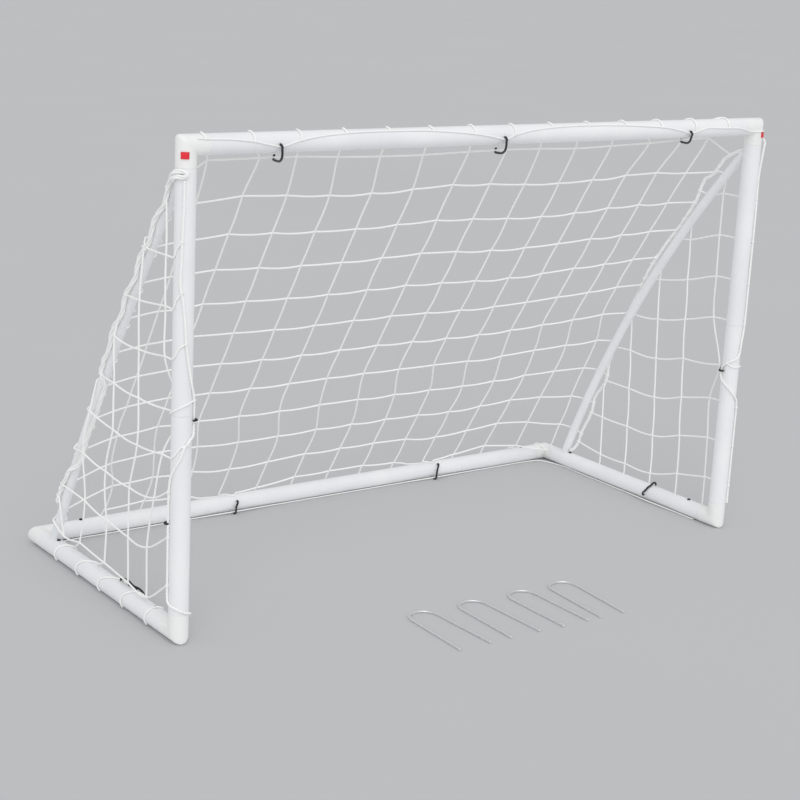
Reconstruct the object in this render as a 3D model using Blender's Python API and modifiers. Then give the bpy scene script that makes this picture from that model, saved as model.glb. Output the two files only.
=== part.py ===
"""Garden sports goal: push-fit tube frame, bowed stays, wrapped net, net clips and ground pegs.

Metres, +Z up, the goal mouth faces -Y, the origin is under the middle of the whole object.
"""
import bpy
import bmesh
from math import acos, atan2, ceil, cos, degrees, exp, hypot, pi, radians, sin, sqrt, tan
from mathutils import Vector

for old in list(bpy.data.objects):
    bpy.data.objects.remove(old)

# Driving sizes of the frame.
POST_SPACING = 1.850
CROSSBAR_RISE = 1.187
BASE_DEPTH = 0.805
TUBE_RADIUS = 0.025
TUBE_WALL = 0.0025
TUBE_SIDES = 16
FIT_GAP = 0.0003

# Push-fit joints.
NECK_DROP = 0.0028
NECK_WALL = 0.0025
MID_NECK = 0.060
ELBOW_LEG = 0.052
CORNER_ROUND = 0.009
SPIGOT_REACH = 0.142
CORNER_CLEAR = 0.0245
POST_NECK_TOP = 0.0045
LEFT_POST_SEAM = 0.552
RIGHT_POST_SEAM = 0.604

# Bowed stays.
STAY_RADIUS = 0.013
STAY_WALL = 0.0015
STAY_TOP_DROP = 0.077
STAY_FOOT_INSET = 0.105
LEFT_BOW = 0.026
RIGHT_BOW = 0.057
PLUG_RADIUS = 0.009
STAY_SIDES = 14
STAY_STATIONS = 8

# Red release buttons.
BUTTON_WIDTH = 0.020
BUTTON_HEIGHT = 0.017
BUTTON_DROP = 0.017
BUTTON_TURN = 34.0
BUTTON_PROUD = 0.0034
BUTTON_FLANGE = 0.0020
BUTTON_STROKE = 0.003

# Snap pins of the base.
PIN_RADIUS = 0.004
PIN_PROUD = 0.0035
PIN_FLANGE = 0.0062
PIN_STROKE = 0.0045
LEAF_LENGTH = 0.034
LEAF_WIDTH = 0.008
LEAF_THICK = 0.0010
SIDE_PIN_FRONT = 0.117
SIDE_PIN_BACK = 0.129
BACK_PIN_LEFT = 0.127
BACK_PIN_RIGHT = 0.107

# Net, ropes, clips and pegs.
CORD = 0.003
WRAP_RADIUS = TUBE_RADIUS + 0.0032
HEADLINE_RADIUS = 0.0019
BORDER_RADIUS = 0.0020
STAY_ROPE_RADIUS = 0.0040
ROPE_SIDES = 2
NET_ROWS = 12
NET_COLUMNS = 14
SIDE_ROWS = 8
SIDE_COLUMNS = 5
CLIP_RADIUS = 0.0014
BAR_CLIPS = (0.125, 0.484, 0.839)
BACK_CLIPS = (0.335, 0.736)
PEG_WIRE = 0.003
PEG_WIDTH = 0.081
PEG_LENGTH = 0.251
PEG_TIP = 0.394

# Where the pegs lie: share of the post spacing, set-back, spread of each tip, turn in degrees.
PEGS = ((0.3376, 0.0125, 0.0070, 0.0), (0.4240, 0.0100, 0.0055, 0.0), (0.5119, 0.0040, 0.0008, 0.0),
        (0.5792, 0.0000, -0.0020, -4.6))

# Places worked out from the sizes above.
HALF_STEP = pi / TUBE_SIDES
RAIL_Z = TUBE_RADIUS * cos(HALF_STEP)
BACK_REACH = BASE_DEPTH + WRAP_RADIUS + CORD / 2
FRONT_Y = (PEG_TIP - BACK_REACH) / 2
BACK_Y = FRONT_Y + BASE_DEPTH
BAR_Z = RAIL_Z + CROSSBAR_RISE
LEFT_X = -POST_SPACING / 2
RIGHT_X = POST_SPACING / 2
BORE = TUBE_RADIUS - TUBE_WALL
NECK = TUBE_RADIUS - NECK_DROP
NECK_BORE = NECK - NECK_WALL
SLOPE = hypot(BASE_DEPTH, CROSSBAR_RISE)
DOWN = Vector((0, BASE_DEPTH / SLOPE, -CROSSBAR_RISE / SLOPE))
OUT = Vector((0, CROSSBAR_RISE / SLOPE, BASE_DEPTH / SLOPE))
X_AXIS = Vector((1, 0, 0))
Y_AXIS = Vector((0, 1, 0))
Z_AXIS = Vector((0, 0, 1))


def new_collection(name):
    made = bpy.data.collections.new(name)
    bpy.context.scene.collection.children.link(made)
    return made


goal = new_collection("sports_goal")
cutters = new_collection("cutters")


def new_material(name, colour, roughness):
    made = bpy.data.materials.new(name)
    made.use_nodes = True
    shader = made.node_tree.nodes["Principled BSDF"]
    shader.inputs["Base Color"].default_value = (*colour, 1)
    shader.inputs["Roughness"].default_value = roughness
    return made


MAT = {
    "frame_plastic": new_material("frame_plastic", (0.86, 0.87, 0.88), 0.30),
    "stay_plastic": new_material("stay_plastic", (0.78, 0.79, 0.81), 0.35),
    "button_red": new_material("button_red", (0.70, 0.03, 0.02), 0.35),
    "clip_black": new_material("clip_black", (0.02, 0.02, 0.022), 0.45),
    "net_cord": new_material("net_cord", (0.85, 0.86, 0.80), 0.80),
    "peg_wire": new_material("peg_wire", (0.75, 0.76, 0.77), 0.35),
    "rope_white": new_material("rope_white", (0.84, 0.84, 0.82), 0.80),
}


def place(name, data, slot, spot=(0, 0, 0), into=None):
    made = bpy.data.objects.new(name, data)
    (into or goal).objects.link(made)
    if slot:
        data.materials.append(MAT[slot])
    made.location = spot
    return made


def mesh_from(name, verts, faces):
    bm = bmesh.new()
    made = [bm.verts.new(v) for v in verts]
    for face in faces:
        bm.faces.new([made[i] for i in face])
    return finish_mesh(name, bm)


def finish_mesh(name, bm):
    bmesh.ops.recalc_face_normals(bm, faces=bm.faces)
    if bm.calc_volume(signed=True) < 0:
        bmesh.ops.reverse_faces(bm, faces=bm.faces)
    mesh = bpy.data.meshes.new(name)
    bm.to_mesh(mesh)
    bm.free()
    return mesh


def turned(name, profile, slot, spot, axis, sides=TUBE_SIDES, into=None):
    """Turns a closed outline of (radius, height) pairs around the given axis."""
    mesh = bpy.data.meshes.new(name)
    phase = pi / sides
    verts = [(r * cos(phase), r * sin(phase), h) for r, h in profile]
    if profile[0][0] > 0:
        edges = [(i, (i + 1) % len(verts)) for i in range(len(verts))]
    else:
        edges = [(i, i + 1) for i in range(len(verts) - 1)]
    mesh.from_pydata(verts, edges, [])
    made = place(name, mesh, slot, spot, into)
    turn = Vector((0, 0, 1)).rotation_difference(Vector(axis).normalized())
    made.rotation_mode = 'QUATERNION'
    made.rotation_quaternion = turn
    screw = made.modifiers.new("turn", 'SCREW')
    screw.axis = 'Z'
    screw.angle = 2 * pi
    screw.steps = sides
    screw.render_steps = sides
    screw.use_merge_vertices = True
    screw.merge_threshold = 0.00001
    screw.use_smooth_shade = False
    return made


def tube(name, start, end, axis, neck_start=0.0, neck_end=0.0):
    """A tube section between two places on its axis, with a swaged neck where one is asked for."""
    axis = Vector(axis)
    length = (Vector(end) - Vector(start)).length
    step = 0.003
    outer = []
    inner = []
    if neck_end:
        outer += [(NECK, length + neck_end), (NECK, length)]
        inner += [(BORE, length - 2 * step), (NECK_BORE, length - step), (NECK_BORE, length + neck_end)]
    else:
        inner += [(BORE, length)]
    outer += [(TUBE_RADIUS, length), (TUBE_RADIUS, 0)]
    if neck_start:
        outer += [(NECK, 0), (NECK, -neck_start)]
        inner = [(NECK_BORE, -neck_start), (NECK_BORE, step), (BORE, 2 * step)] + inner
    else:
        inner = [(BORE, 0)] + inner
    return turned(name, outer + inner, "frame_plastic", start, axis)


def loft(name, rings, slot, closed):
    """Joins rings of equal length; a closed loft runs back to its first ring."""
    bm = bmesh.new()
    made = [[bm.verts.new(p) for p in ring] for ring in rings]
    count = len(rings[0])
    pairs = list(zip(made, made[1:] + made[:1])) if closed else list(zip(made, made[1:]))
    for a, b in pairs:
        for i in range(count):
            j = (i + 1) % count
            bm.faces.new((a[i], a[j], b[j], b[i]))
    bmesh.ops.remove_doubles(bm, verts=bm.verts, dist=0.000001)
    return place(name, finish_mesh(name, bm), slot)


def corner_ring(corner, leg_a, leg_b, radius, rounding, swing):
    """One ring of the mitred corner; swing runs from 0 on leg a to 90 on leg b."""
    side = leg_a.cross(leg_b)
    ring = []
    for i in range(TUBE_SIDES):
        t = 2 * pi * (i + 0.5) / TUBE_SIDES
        point = corner - (leg_a + leg_b) * radius * cos(t) + side * radius * sin(t)
        soft = rounding * max(0.0, cos(t))
        point += leg_a * soft * (1 - sin(swing)) + leg_b * soft * (1 - cos(swing))
        ring.append(point)
    return ring


def leg_ring(corner, leg, other, radius, reach, first):
    side = leg.cross(other) if first else other.cross(leg)
    ring = []
    for i in range(TUBE_SIDES):
        t = 2 * pi * (i + 0.5) / TUBE_SIDES
        ring.append(corner + leg * reach - other * radius * cos(t) + side * radius * sin(t))
    return ring


def elbow(name, corner, leg_a, leg_b, spigot_a, spigot_b):
    """A mitred corner; each leg is a socket, or a spigot that reaches into its rail."""
    rings = []
    thin = spigot_a or spigot_b
    core = NECK_BORE if thin else BORE
    mouth = 0.030

    def outer(leg, other, spigot, first):
        if spigot:
            reach = ((NECK, SPIGOT_REACH), (NECK, ELBOW_LEG), (TUBE_RADIUS, ELBOW_LEG))
        else:
            reach = ((TUBE_RADIUS, ELBOW_LEG),)
        return [leg_ring(corner, leg, other, r, d, first) for r, d in reach]

    def inner(leg, other, spigot, first):
        if spigot:
            reach = ((NECK_BORE, SPIGOT_REACH),)
        elif thin:
            reach = ((BORE, ELBOW_LEG), (BORE, mouth), (core, mouth))
        else:
            reach = ((BORE, ELBOW_LEG),)
        return [leg_ring(corner, leg, other, r, d, first) for r, d in reach]

    rings += outer(leg_a, leg_b, spigot_a, True)
    for swing in (0, 30, 60, 90):
        rings.append(corner_ring(corner, leg_a, leg_b, TUBE_RADIUS, CORNER_ROUND, radians(swing)))
    rings += list(reversed(outer(leg_b, leg_a, spigot_b, False)))
    rings += inner(leg_b, leg_a, spigot_b, False)
    for swing in (90, 45, 0):
        rings.append(corner_ring(corner, leg_a, leg_b, core, CORNER_ROUND - TUBE_WALL, radians(swing)))
    rings += list(reversed(inner(leg_a, leg_b, spigot_a, True)))
    return loft(name, rings, "frame_plastic", True)


def hole(target, name, spot, axis, radius, half_length, sides=TUBE_SIDES):
    """Cuts a round hole."""
    profile = [(0, half_length), (radius, half_length), (radius, -half_length), (0, -half_length)]
    tool = turned(name, profile, None, spot, axis, sides, cutters)
    return cut(target, tool)


def cut(target, tool, kind='DIFFERENCE'):
    tool.hide_render = True
    tool.display_type = 'WIRE'
    change = target.modifiers.new(tool.name, 'BOOLEAN')
    change.operation = kind
    change.solver = 'EXACT'
    change.object = tool
    return tool


def shared_cut(target, tool):
    change = target.modifiers.new(tool.name, 'BOOLEAN')
    change.operation = 'DIFFERENCE'
    change.solver = 'EXACT'
    change.object = tool


def wire(name, points, radius, slot, sides=ROPE_SIDES, cyclic=False):
    """A round rope or wire along the given places."""
    curve = bpy.data.curves.new(name, 'CURVE')
    curve.dimensions = '3D'
    curve.bevel_depth = radius
    curve.bevel_resolution = sides
    curve.use_fill_caps = True
    line = curve.splines.new('POLY')
    line.points.add(len(points) - 1)
    for spot, point in zip(line.points, points):
        spot.co = (*point, 1)
    line.use_cyclic_u = cyclic
    return place(name, curve, slot)


# Frame corners.
TOP_LEFT = Vector((LEFT_X, FRONT_Y, BAR_Z))
TOP_RIGHT = Vector((RIGHT_X, FRONT_Y, BAR_Z))
FOOT_LEFT = Vector((LEFT_X, FRONT_Y, RAIL_Z))
FOOT_RIGHT = Vector((RIGHT_X, FRONT_Y, RAIL_Z))
BACK_LEFT = Vector((LEFT_X, BACK_Y, RAIL_Z))
BACK_RIGHT = Vector((RIGHT_X, BACK_Y, RAIL_Z))

elbows = {
    "top_elbow_left": elbow("top_elbow_left", TOP_LEFT, X_AXIS, -Z_AXIS, False, False),
    "top_elbow_right": elbow("top_elbow_right", TOP_RIGHT, -X_AXIS, -Z_AXIS, False, False),
    "foot_elbow_left": elbow("foot_elbow_left", FOOT_LEFT, Z_AXIS, Y_AXIS, False, True),
    "foot_elbow_right": elbow("foot_elbow_right", FOOT_RIGHT, Z_AXIS, Y_AXIS, False, True),
    "back_elbow_left": elbow("back_elbow_left", BACK_LEFT, X_AXIS, -Y_AXIS, True, True),
    "back_elbow_right": elbow("back_elbow_right", BACK_RIGHT, -X_AXIS, -Y_AXIS, True, True),
}

# Tubes between the corners.
SEAM = ELBOW_LEG + FIT_GAP
FOOT_NECK = ELBOW_LEG - 0.031
BAR_NECK = SEAM - CORNER_CLEAR
POST_TOP_NECK = SEAM - POST_NECK_TOP
posts = {}
for side, x, seam in (("left", LEFT_X, LEFT_POST_SEAM), ("right", RIGHT_X, RIGHT_POST_SEAM)):
    split = RAIL_Z + seam * CROSSBAR_RISE / 1.187
    posts["post_lower_" + side] = tube(
        "post_lower_" + side, (x, FRONT_Y, RAIL_Z + SEAM), (x, FRONT_Y, split), Z_AXIS,
        FOOT_NECK, MID_NECK)
    posts["post_upper_" + side] = tube(
        "post_upper_" + side, (x, FRONT_Y, split + FIT_GAP), (x, FRONT_Y, BAR_Z - SEAM), Z_AXIS,
        0.0, POST_TOP_NECK)

bar_left = tube("crossbar_left", (LEFT_X + SEAM, FRONT_Y, BAR_Z), (0, FRONT_Y, BAR_Z), X_AXIS,
                BAR_NECK, MID_NECK)
bar_right = tube("crossbar_right", (FIT_GAP, FRONT_Y, BAR_Z), (RIGHT_X - SEAM, FRONT_Y, BAR_Z), X_AXIS,
                 0.0, BAR_NECK)
back_left = tube("back_rail_left", (LEFT_X + SEAM, BACK_Y, RAIL_Z), (0, BACK_Y, RAIL_Z), X_AXIS,
                 0.0, MID_NECK)
back_right = tube("back_rail_right", (FIT_GAP, BACK_Y, RAIL_Z), (RIGHT_X - SEAM, BACK_Y, RAIL_Z), X_AXIS)
rails = {}
for side, x in (("left", LEFT_X), ("right", RIGHT_X)):
    rails[side] = tube("side_rail_" + side, (x, FRONT_Y + SEAM, RAIL_Z), (x, BACK_Y - SEAM, RAIL_Z), Y_AXIS)


# Stays.
def stay_axis(x, bow):
    """Places and headings along a stay's bowed centre line, from the post to the side rail."""
    top = Vector((x, FRONT_Y + TUBE_RADIUS, BAR_Z - STAY_TOP_DROP))
    foot = Vector((x, BACK_Y - STAY_FOOT_INSET, RAIL_Z + TUBE_RADIUS))
    chord = (foot - top).normalized()
    away = Vector((0, -chord.z, chord.y))

    def at(t):
        point = top.lerp(foot, t) + away * 4 * bow * t * (1 - t)
        heading = (chord + away * 4 * bow * (1 - 2 * t) / (foot - top).length).normalized()
        return point, heading, Vector((0, -heading.z, heading.y))

    return at


def reach_tube(point, heading, centre, axis, radius):
    """Where a line from a point meets a round tube, measured along the heading."""
    flat = heading - axis * heading.dot(axis)
    gap = point - centre
    gap = gap - axis * gap.dot(axis)
    a = flat.dot(flat)
    b = 2 * gap.dot(flat)
    c = gap.dot(gap) - radius * radius
    root = sqrt(max(0.0, b * b - 4 * a * c))
    return sorted(((-b - root) / (2 * a), (-b + root) / (2 * a)), key=abs)[0]


def stay(name, x, bow):
    at = stay_axis(x, bow)
    seat = TUBE_RADIUS + FIT_GAP
    stations = STAY_STATIONS
    rings = []
    for radius, order in ((STAY_RADIUS, range(stations + 1)), (STAY_RADIUS - STAY_WALL, range(stations, -1, -1))):
        for k in order:
            t = k / stations
            point, heading, up = at(t)
            ring = []
            for i in range(STAY_SIDES):
                angle = 2 * pi * (i + 0.5) / STAY_SIDES
                spot = point + X_AXIS * radius * cos(angle) + up * radius * sin(angle)
                if k == 0:
                    spot += heading * reach_tube(spot, heading, Vector((x, FRONT_Y, 0)), Z_AXIS, seat)
                if k == stations:
                    spot += heading * reach_tube(spot, heading, Vector((x, 0, RAIL_Z)), Y_AXIS, seat)
                ring.append(spot)
            rings.append(ring)
    return loft(name, rings, "stay_plastic", True)


def stay_plug(name, point, heading, tilt, targets):
    """A turned plug through the tube wall into the stay; its hole is cut in each target."""
    wide = STAY_RADIUS - STAY_WALL - 2 * FIT_GAP
    step = (wide * tan(tilt) + 0.0008) / 1.0 + 0.0006 / cos(tilt)
    long = step + 0.018
    profile = [(0, long), (wide, long), (wide, step), (PLUG_RADIUS, step), (PLUG_RADIUS, -0.009), (0, -0.009)]
    turned(name, profile, "stay_plastic", point, heading, 16)
    half = PLUG_RADIUS * tan(tilt) + TUBE_WALL / cos(tilt) + 0.006
    first = hole(targets[0], name + "_hole", point - heading * 0.003, heading, PLUG_RADIUS + FIT_GAP * 1.3, half, 16)
    for other in targets[1:]:
        shared_cut(other, first)


stay_lines = {"left": stay_axis(LEFT_X, LEFT_BOW), "right": stay_axis(RIGHT_X, RIGHT_BOW)}
for side, x, bow in (("left", LEFT_X, LEFT_BOW), ("right", RIGHT_X, RIGHT_BOW)):
    stay("stay_" + side, x, bow)
    point = stay_lines[side](0)[0]
    heading = (stay_lines[side](1 / STAY_STATIONS)[0] - point).normalized()
    stay_plug("stay_plug_top_" + side, point, heading, acos(heading.y), [posts["post_upper_" + side]])
    point = stay_lines[side](1)[0]
    heading = (stay_lines[side](1 - 1 / STAY_STATIONS)[0] - point).normalized()
    stay_plug("stay_plug_foot_" + side, point, heading, acos(heading.z),
              [rails[side], elbows["back_elbow_" + side]])


# Red buttons.
def button(name, x, outward, elbow_node, post_node):
    turn = radians(BUTTON_TURN)
    face = Vector((outward * sin(turn), -cos(turn), 0))
    across = Vector((0, 0, 1)).cross(face)
    centre = Vector((x, FRONT_Y, BAR_Z - BUTTON_DROP))
    half = BUTTON_WIDTH / 2
    rear = NECK_BORE - 0.0046
    front = TUBE_RADIUS + BUTTON_PROUD
    outline = []
    for k in range(7):
        swing = -1 + 2 * k / 6
        w = half * swing
        outline.append((w, sqrt(front * front - w * w) - (0.0012 if abs(swing) == 1 else 0)))
    outline += [(half, rear - BUTTON_FLANGE / 2), (-half, rear - BUTTON_FLANGE / 2)]
    low = -BUTTON_HEIGHT / 2
    verts = []
    for z in (low, -low):
        for w, depth in outline:
            verts.append(across * w + face * (depth - rear) + Vector((0, 0, z)))
    n = len(outline)
    faces = [tuple(range(n)), tuple(range(n, 2 * n))]
    faces += [(i, (i + 1) % n, n + (i + 1) % n, n + i) for i in range(n)]
    body = place(name, mesh_from(name, verts, faces), "button_red", centre + face * rear)
    soften = body.modifiers.new("soft", 'BEVEL')
    soften.width = 0.0008
    soften.segments = 1
    soften.limit_method = 'ANGLE'
    soften.angle_limit = radians(50)
    flange_half = min(half + 0.0018, sqrt(NECK_BORE ** 2 * cos(HALF_STEP) ** 2 - rear ** 2) - 0.0003)
    flange = block(name + "_flange", across, face, flange_half, BUTTON_FLANGE / 2, BUTTON_HEIGHT / 2 + 0.0018,
                   centre + face * (rear - BUTTON_FLANGE / 2))
    cut(body, flange, 'UNION')
    slack = 0.0004
    window = block(name + "_window", across, face, half + slack, 0.010, BUTTON_HEIGHT / 2 + slack,
                   centre + face * (TUBE_RADIUS - 0.001))
    cut(elbows[elbow_node], window)
    shared_cut(posts[post_node], window)


def block(name, across, face, half_across, half_face, half_z, spot):
    """A box that stands along two level directions."""
    verts = []
    for sx, sy, sz in ((-1, -1, -1), (1, -1, -1), (1, 1, -1), (-1, 1, -1), (-1, -1, 1), (1, -1, 1), (1, 1, 1),
                       (-1, 1, 1)):
        verts.append(across * half_across * sx + face * half_face * sy + Vector((0, 0, half_z * sz)))
    faces = [(0, 1, 2, 3), (4, 5, 6, 7), (0, 1, 5, 4), (1, 2, 6, 5), (2, 3, 7, 6), (3, 0, 4, 7)]
    return place(name, mesh_from(name, verts, faces), None, spot, cutters)


button("button_left", LEFT_X, -1, "top_elbow_left", "post_upper_left")
button("button_right", RIGHT_X, 1, "top_elbow_right", "post_upper_right")


# Snap pins.
def snap_pin(name, spot, inward, targets):
    """A domed pin on a folded spring leaf; inward is the heading of the leaf along the rail."""
    top = TUBE_RADIUS * cos(HALF_STEP) + PIN_PROUD
    flange_top = sqrt((NECK_BORE * cos(HALF_STEP)) ** 2 - PIN_FLANGE ** 2) - FIT_GAP
    flange_low = flange_top - 0.0014
    dome = [(0, top)] + [(PIN_RADIUS * sin(radians(a)), top - PIN_RADIUS * 0.5 * (1 - cos(radians(a))))
                         for a in (35, 65, 90)]
    profile = dome + [(PIN_RADIUS, flange_top), (PIN_FLANGE, flange_top), (PIN_FLANGE, flange_low), (0, flange_low)]
    body = turned(name, profile, "clip_black", spot, Z_AXIS, 12)
    along = Vector(inward)
    side = along.cross(Z_AXIS)
    low = -(NECK_BORE * cos(HALF_STEP)) + PIN_STROKE + 0.0012
    half = LEAF_WIDTH / 2
    low = max(low, -sqrt((NECK_BORE * cos(HALF_STEP)) ** 2 - half ** 2) + PIN_STROKE + 0.0006)
    tip = LEAF_LENGTH
    mid = (flange_low + low) / 2
    t = LEAF_THICK
    outline = [(-0.004, flange_low + 0.0006), (0.005, flange_low + 0.0006), (tip, mid + 0.0012), (tip + 0.0006, mid),
               (tip, mid - 0.0012), (0.003, low), (-0.002, low + 0.0006), (-0.002, low + 0.0006 + t),
               (0.0035, low + t), (tip - 0.004, mid), (0.0046, flange_low + 0.0006 - t),
               (-0.004, flange_low + 0.0006 - t)]
    verts = []
    for s in (-half, half):
        for a, z in outline:
            verts.append(along * a + side * s + Vector((0, 0, z)))
    n = len(outline)
    faces = [tuple(range(n)), tuple(range(n, 2 * n))]
    faces += [(i, (i + 1) % n, n + (i + 1) % n, n + i) for i in range(n)]
    leaf = place(name + "_leaf", mesh_from(name + "_leaf", verts, faces), None, spot, cutters)
    cut(body, leaf, 'UNION')
    first = hole(targets[0], name + "_hole", Vector(spot) + Vector((0, 0, TUBE_RADIUS - 0.003)), Z_AXIS,
                 PIN_RADIUS + 0.0005, 0.006, 12)
    for other in targets[1:]:
        shared_cut(other, first)


snap_pin("snap_pin_left_front", (LEFT_X, FRONT_Y + SIDE_PIN_FRONT, RAIL_Z), (0, 1, 0),
         [rails["left"], elbows["foot_elbow_left"]])
snap_pin("snap_pin_left_back", (LEFT_X, BACK_Y - SIDE_PIN_BACK, RAIL_Z), (0, -1, 0),
         [rails["left"], elbows["back_elbow_left"]])
snap_pin("snap_pin_right_front", (RIGHT_X, FRONT_Y + SIDE_PIN_FRONT, RAIL_Z), (0, 1, 0),
         [rails["right"], elbows["foot_elbow_right"]])
snap_pin("snap_pin_right_back", (RIGHT_X, BACK_Y - SIDE_PIN_BACK, RAIL_Z), (0, -1, 0),
         [rails["right"], elbows["back_elbow_right"]])
snap_pin("snap_pin_rear_left", (LEFT_X + BACK_PIN_LEFT, BACK_Y, RAIL_Z), (1, 0, 0),
         [back_left, elbows["back_elbow_left"]])
snap_pin("snap_pin_rear_right", (RIGHT_X - BACK_PIN_RIGHT, BACK_Y, RAIL_Z), (-1, 0, 0),
         [back_right, elbows["back_elbow_right"]])


# Net shapes shared by the cords, the ropes and the clips.
def smooth(value):
    value = min(1.0, max(0.0, value))
    return value * value * (3 - 2 * value)


def mix(a, b, t):
    return a + (b - a) * t


def path_value(points, at):
    """Straight-line reading of a list of (place, value) pairs, in rising order of place."""
    if at <= points[0][0]:
        return points[0][1]
    for (a, va), (b, vb) in zip(points, points[1:]):
        if at <= b:
            return mix(va, vb, smooth((at - a) / (b - a)))
    return points[-1][1]


def ring_spot(centre, first, second, angle, radius):
    return centre + (first * cos(angle) + second * sin(angle)) * radius


def bar_spot(x, angle, radius):
    """Round the crossbar: 0 is the back, 90 the top, 180 the front."""
    return ring_spot(Vector((x, FRONT_Y, BAR_Z)), Y_AXIS, Z_AXIS, radians(angle), radius)


def rear_spot(x, angle, radius):
    return ring_spot(Vector((x, BACK_Y, RAIL_Z)), Y_AXIS, Z_AXIS, radians(angle), radius)


def post_spot(side, z, angle, radius):
    """Round a post: 0 is the front, 90 the outer side."""
    out = -1 if side == "left" else 1
    x = LEFT_X if side == "left" else RIGHT_X
    return ring_spot(Vector((x, FRONT_Y, z)), -Y_AXIS, X_AXIS * out, radians(angle), radius)


def rail_spot(side, y, angle, radius):
    """Round a side rail: 0 is the outer side, 90 the top, 180 the inner side."""
    out = -1 if side == "left" else 1
    x = LEFT_X if side == "left" else RIGHT_X
    return ring_spot(Vector((x, y, RAIL_Z)), X_AXIS * out, Z_AXIS, radians(angle), radius)


def clip_pull(x, spots, width):
    return max(exp(-(((x - s * POST_SPACING) / width) ** 2)) for s in spots)


HEADLINE_LOW = 207.0
HEADLINE_HIGH = 142.0


def headline_angle(x):
    """The headline sits low on the front of the bar at the clips and rides up between them."""
    return mix(HEADLINE_HIGH, HEADLINE_LOW, clip_pull(x, BAR_CLIPS, 0.150))


def column_x(c, row):
    """Distance from the left post of a net column at a row; row 0 is the top of the bar."""
    scale = POST_SPACING / 1.85
    base = 0.106 + 0.1298 * c - 0.00003 * c ** 3
    top = 0.037 + 0.1295 * c
    if row <= 0:
        return top * scale
    if row <= 1:
        return (base - 0.040) * scale
    if row <= 3:
        return (base - 0.006 * (3 - row)) * scale
    k = row - 3
    fold = 10.47 - 1.74 * base
    return (base + 0.005 * k + 0.045 * smooth((row - fold + 0.9) / 1.8)) * scale


def row_drop(row, x):
    """Distance of a net row down the slope."""
    k = row - 3
    drop = (0.330 + 0.1235 * k - 0.00044 * k * k) if row >= 3 else 0.077 + 0.1265 * (row - 1)
    top_wave = clip_pull(x, BAR_CLIPS, 0.18) - 0.5
    low_wave = clip_pull(x, BACK_CLIPS, 0.13) - 0.35
    if row > 1:
        drop -= 0.016 * top_wave * max(0.0, 1 - (row - 2) / 7)
        drop += 0.040 * low_wave * 0.5 ** (NET_ROWS - row)
    edge = max(0.0, (x / POST_SPACING - 0.66) / 0.34)
    drop -= 0.036 * edge * edge * sin(pi * min(row, 12) / 12.5)
    return min(drop * SLOPE / 1.4343, SLOPE - 0.004)


def net_spot(c, row):
    """A knot of the back net."""
    x = column_x(c, row)
    if row == 1:
        pull = clip_pull(x + 0.030, BAR_CLIPS, 0.12)
        radius = mix(0.0815, 0.0335, pull)
        return bar_spot(LEFT_X + x, mix(-37, -72.6, pull), radius)
    drop = row_drop(row, x)
    t = min(1.0, max(0.0, (drop - 0.080) / (SLOPE - 0.170)))
    fall = 0.0
    for away, bow in ((x, LEFT_BOW), (POST_SPACING - x, RIGHT_BOW)):
        gap = mix(0.049, 0.0995, t) - 4 * bow * t * (1 - t)
        fall += (gap - 0.024) * max(0.0, 1 - max(0.0, away) / 0.26) ** 1.5
    start = Vector((LEFT_X + x, FRONT_Y, BAR_Z)) + OUT * WRAP_RADIUS
    return start + DOWN * drop - OUT * fall


class Net:
    """Square cord joined at knots: each knot is a small cube, each cord a prism between two facing sides.

    facing is -1 where the knots' normals point to the inside of the goal.
    """

    def __init__(self, facing=1):
        self.facing = facing
        self.bm = bmesh.new()
        self.knots = {}

    def knot(self, key, spot, along, down):
        half = CORD / 2
        u = along.normalized()
        n = u.cross(down).normalized()
        v = n.cross(u)
        corner = {}
        for su in (-1, 1):
            for sv in (-1, 1):
                for sn in (-1, 1):
                    corner[su, sv, sn] = self.bm.verts.new(spot + (u * su + v * sv + n * sn) * half)
        self.knots[key] = (corner, set(), spot, u, v, n)

    def side(self, key, which):
        corner, used, spot, u, v, n = self.knots[key]
        used.add(which)
        axis, s = which
        if axis == "u":
            return [corner[s, -1, -1], corner[s, 1, -1], corner[s, 1, 1], corner[s, -1, 1]]
        return [corner[-1, s, -1], corner[1, s, -1], corner[1, s, 1], corner[-1, s, 1]]

    def ring(self, spot, across, normal, half=CORD / 2):
        a = across.normalized() * half
        b = (normal - across.normalized() * normal.dot(across.normalized())).normalized() * half * self.facing
        return [self.bm.verts.new(spot + p) for p in (-a - b, a - b, a + b, b - a)]

    def skin(self, rings, cap):
        for r, s in zip(rings, rings[1:]):
            for i in range(4):
                j = (i + 1) % 4
                self.bm.faces.new((r[i], r[j], s[j], s[i]))
        if cap:
            self.bm.faces.new(rings[-1])

    def join(self, one, side_one, two, side_two, between=()):
        self.skin([self.side(one, side_one), *between, self.side(two, side_two)], False)

    def tail(self, key, side, between):
        self.skin([self.side(key, side), *between], True)

    def close(self):
        for corner, used, *rest in self.knots.values():
            for s in (-1, 1):
                if ("u", s) not in used:
                    self.bm.faces.new([corner[s, -1, -1], corner[s, 1, -1], corner[s, 1, 1], corner[s, -1, 1]])
                if ("v", s) not in used:
                    self.bm.faces.new([corner[-1, s, -1], corner[1, s, -1], corner[1, s, 1], corner[-1, s, 1]])
                self.bm.faces.new([corner[-1, -1, s], corner[1, -1, s], corner[1, 1, s], corner[-1, 1, s]])
        return self.bm


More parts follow.
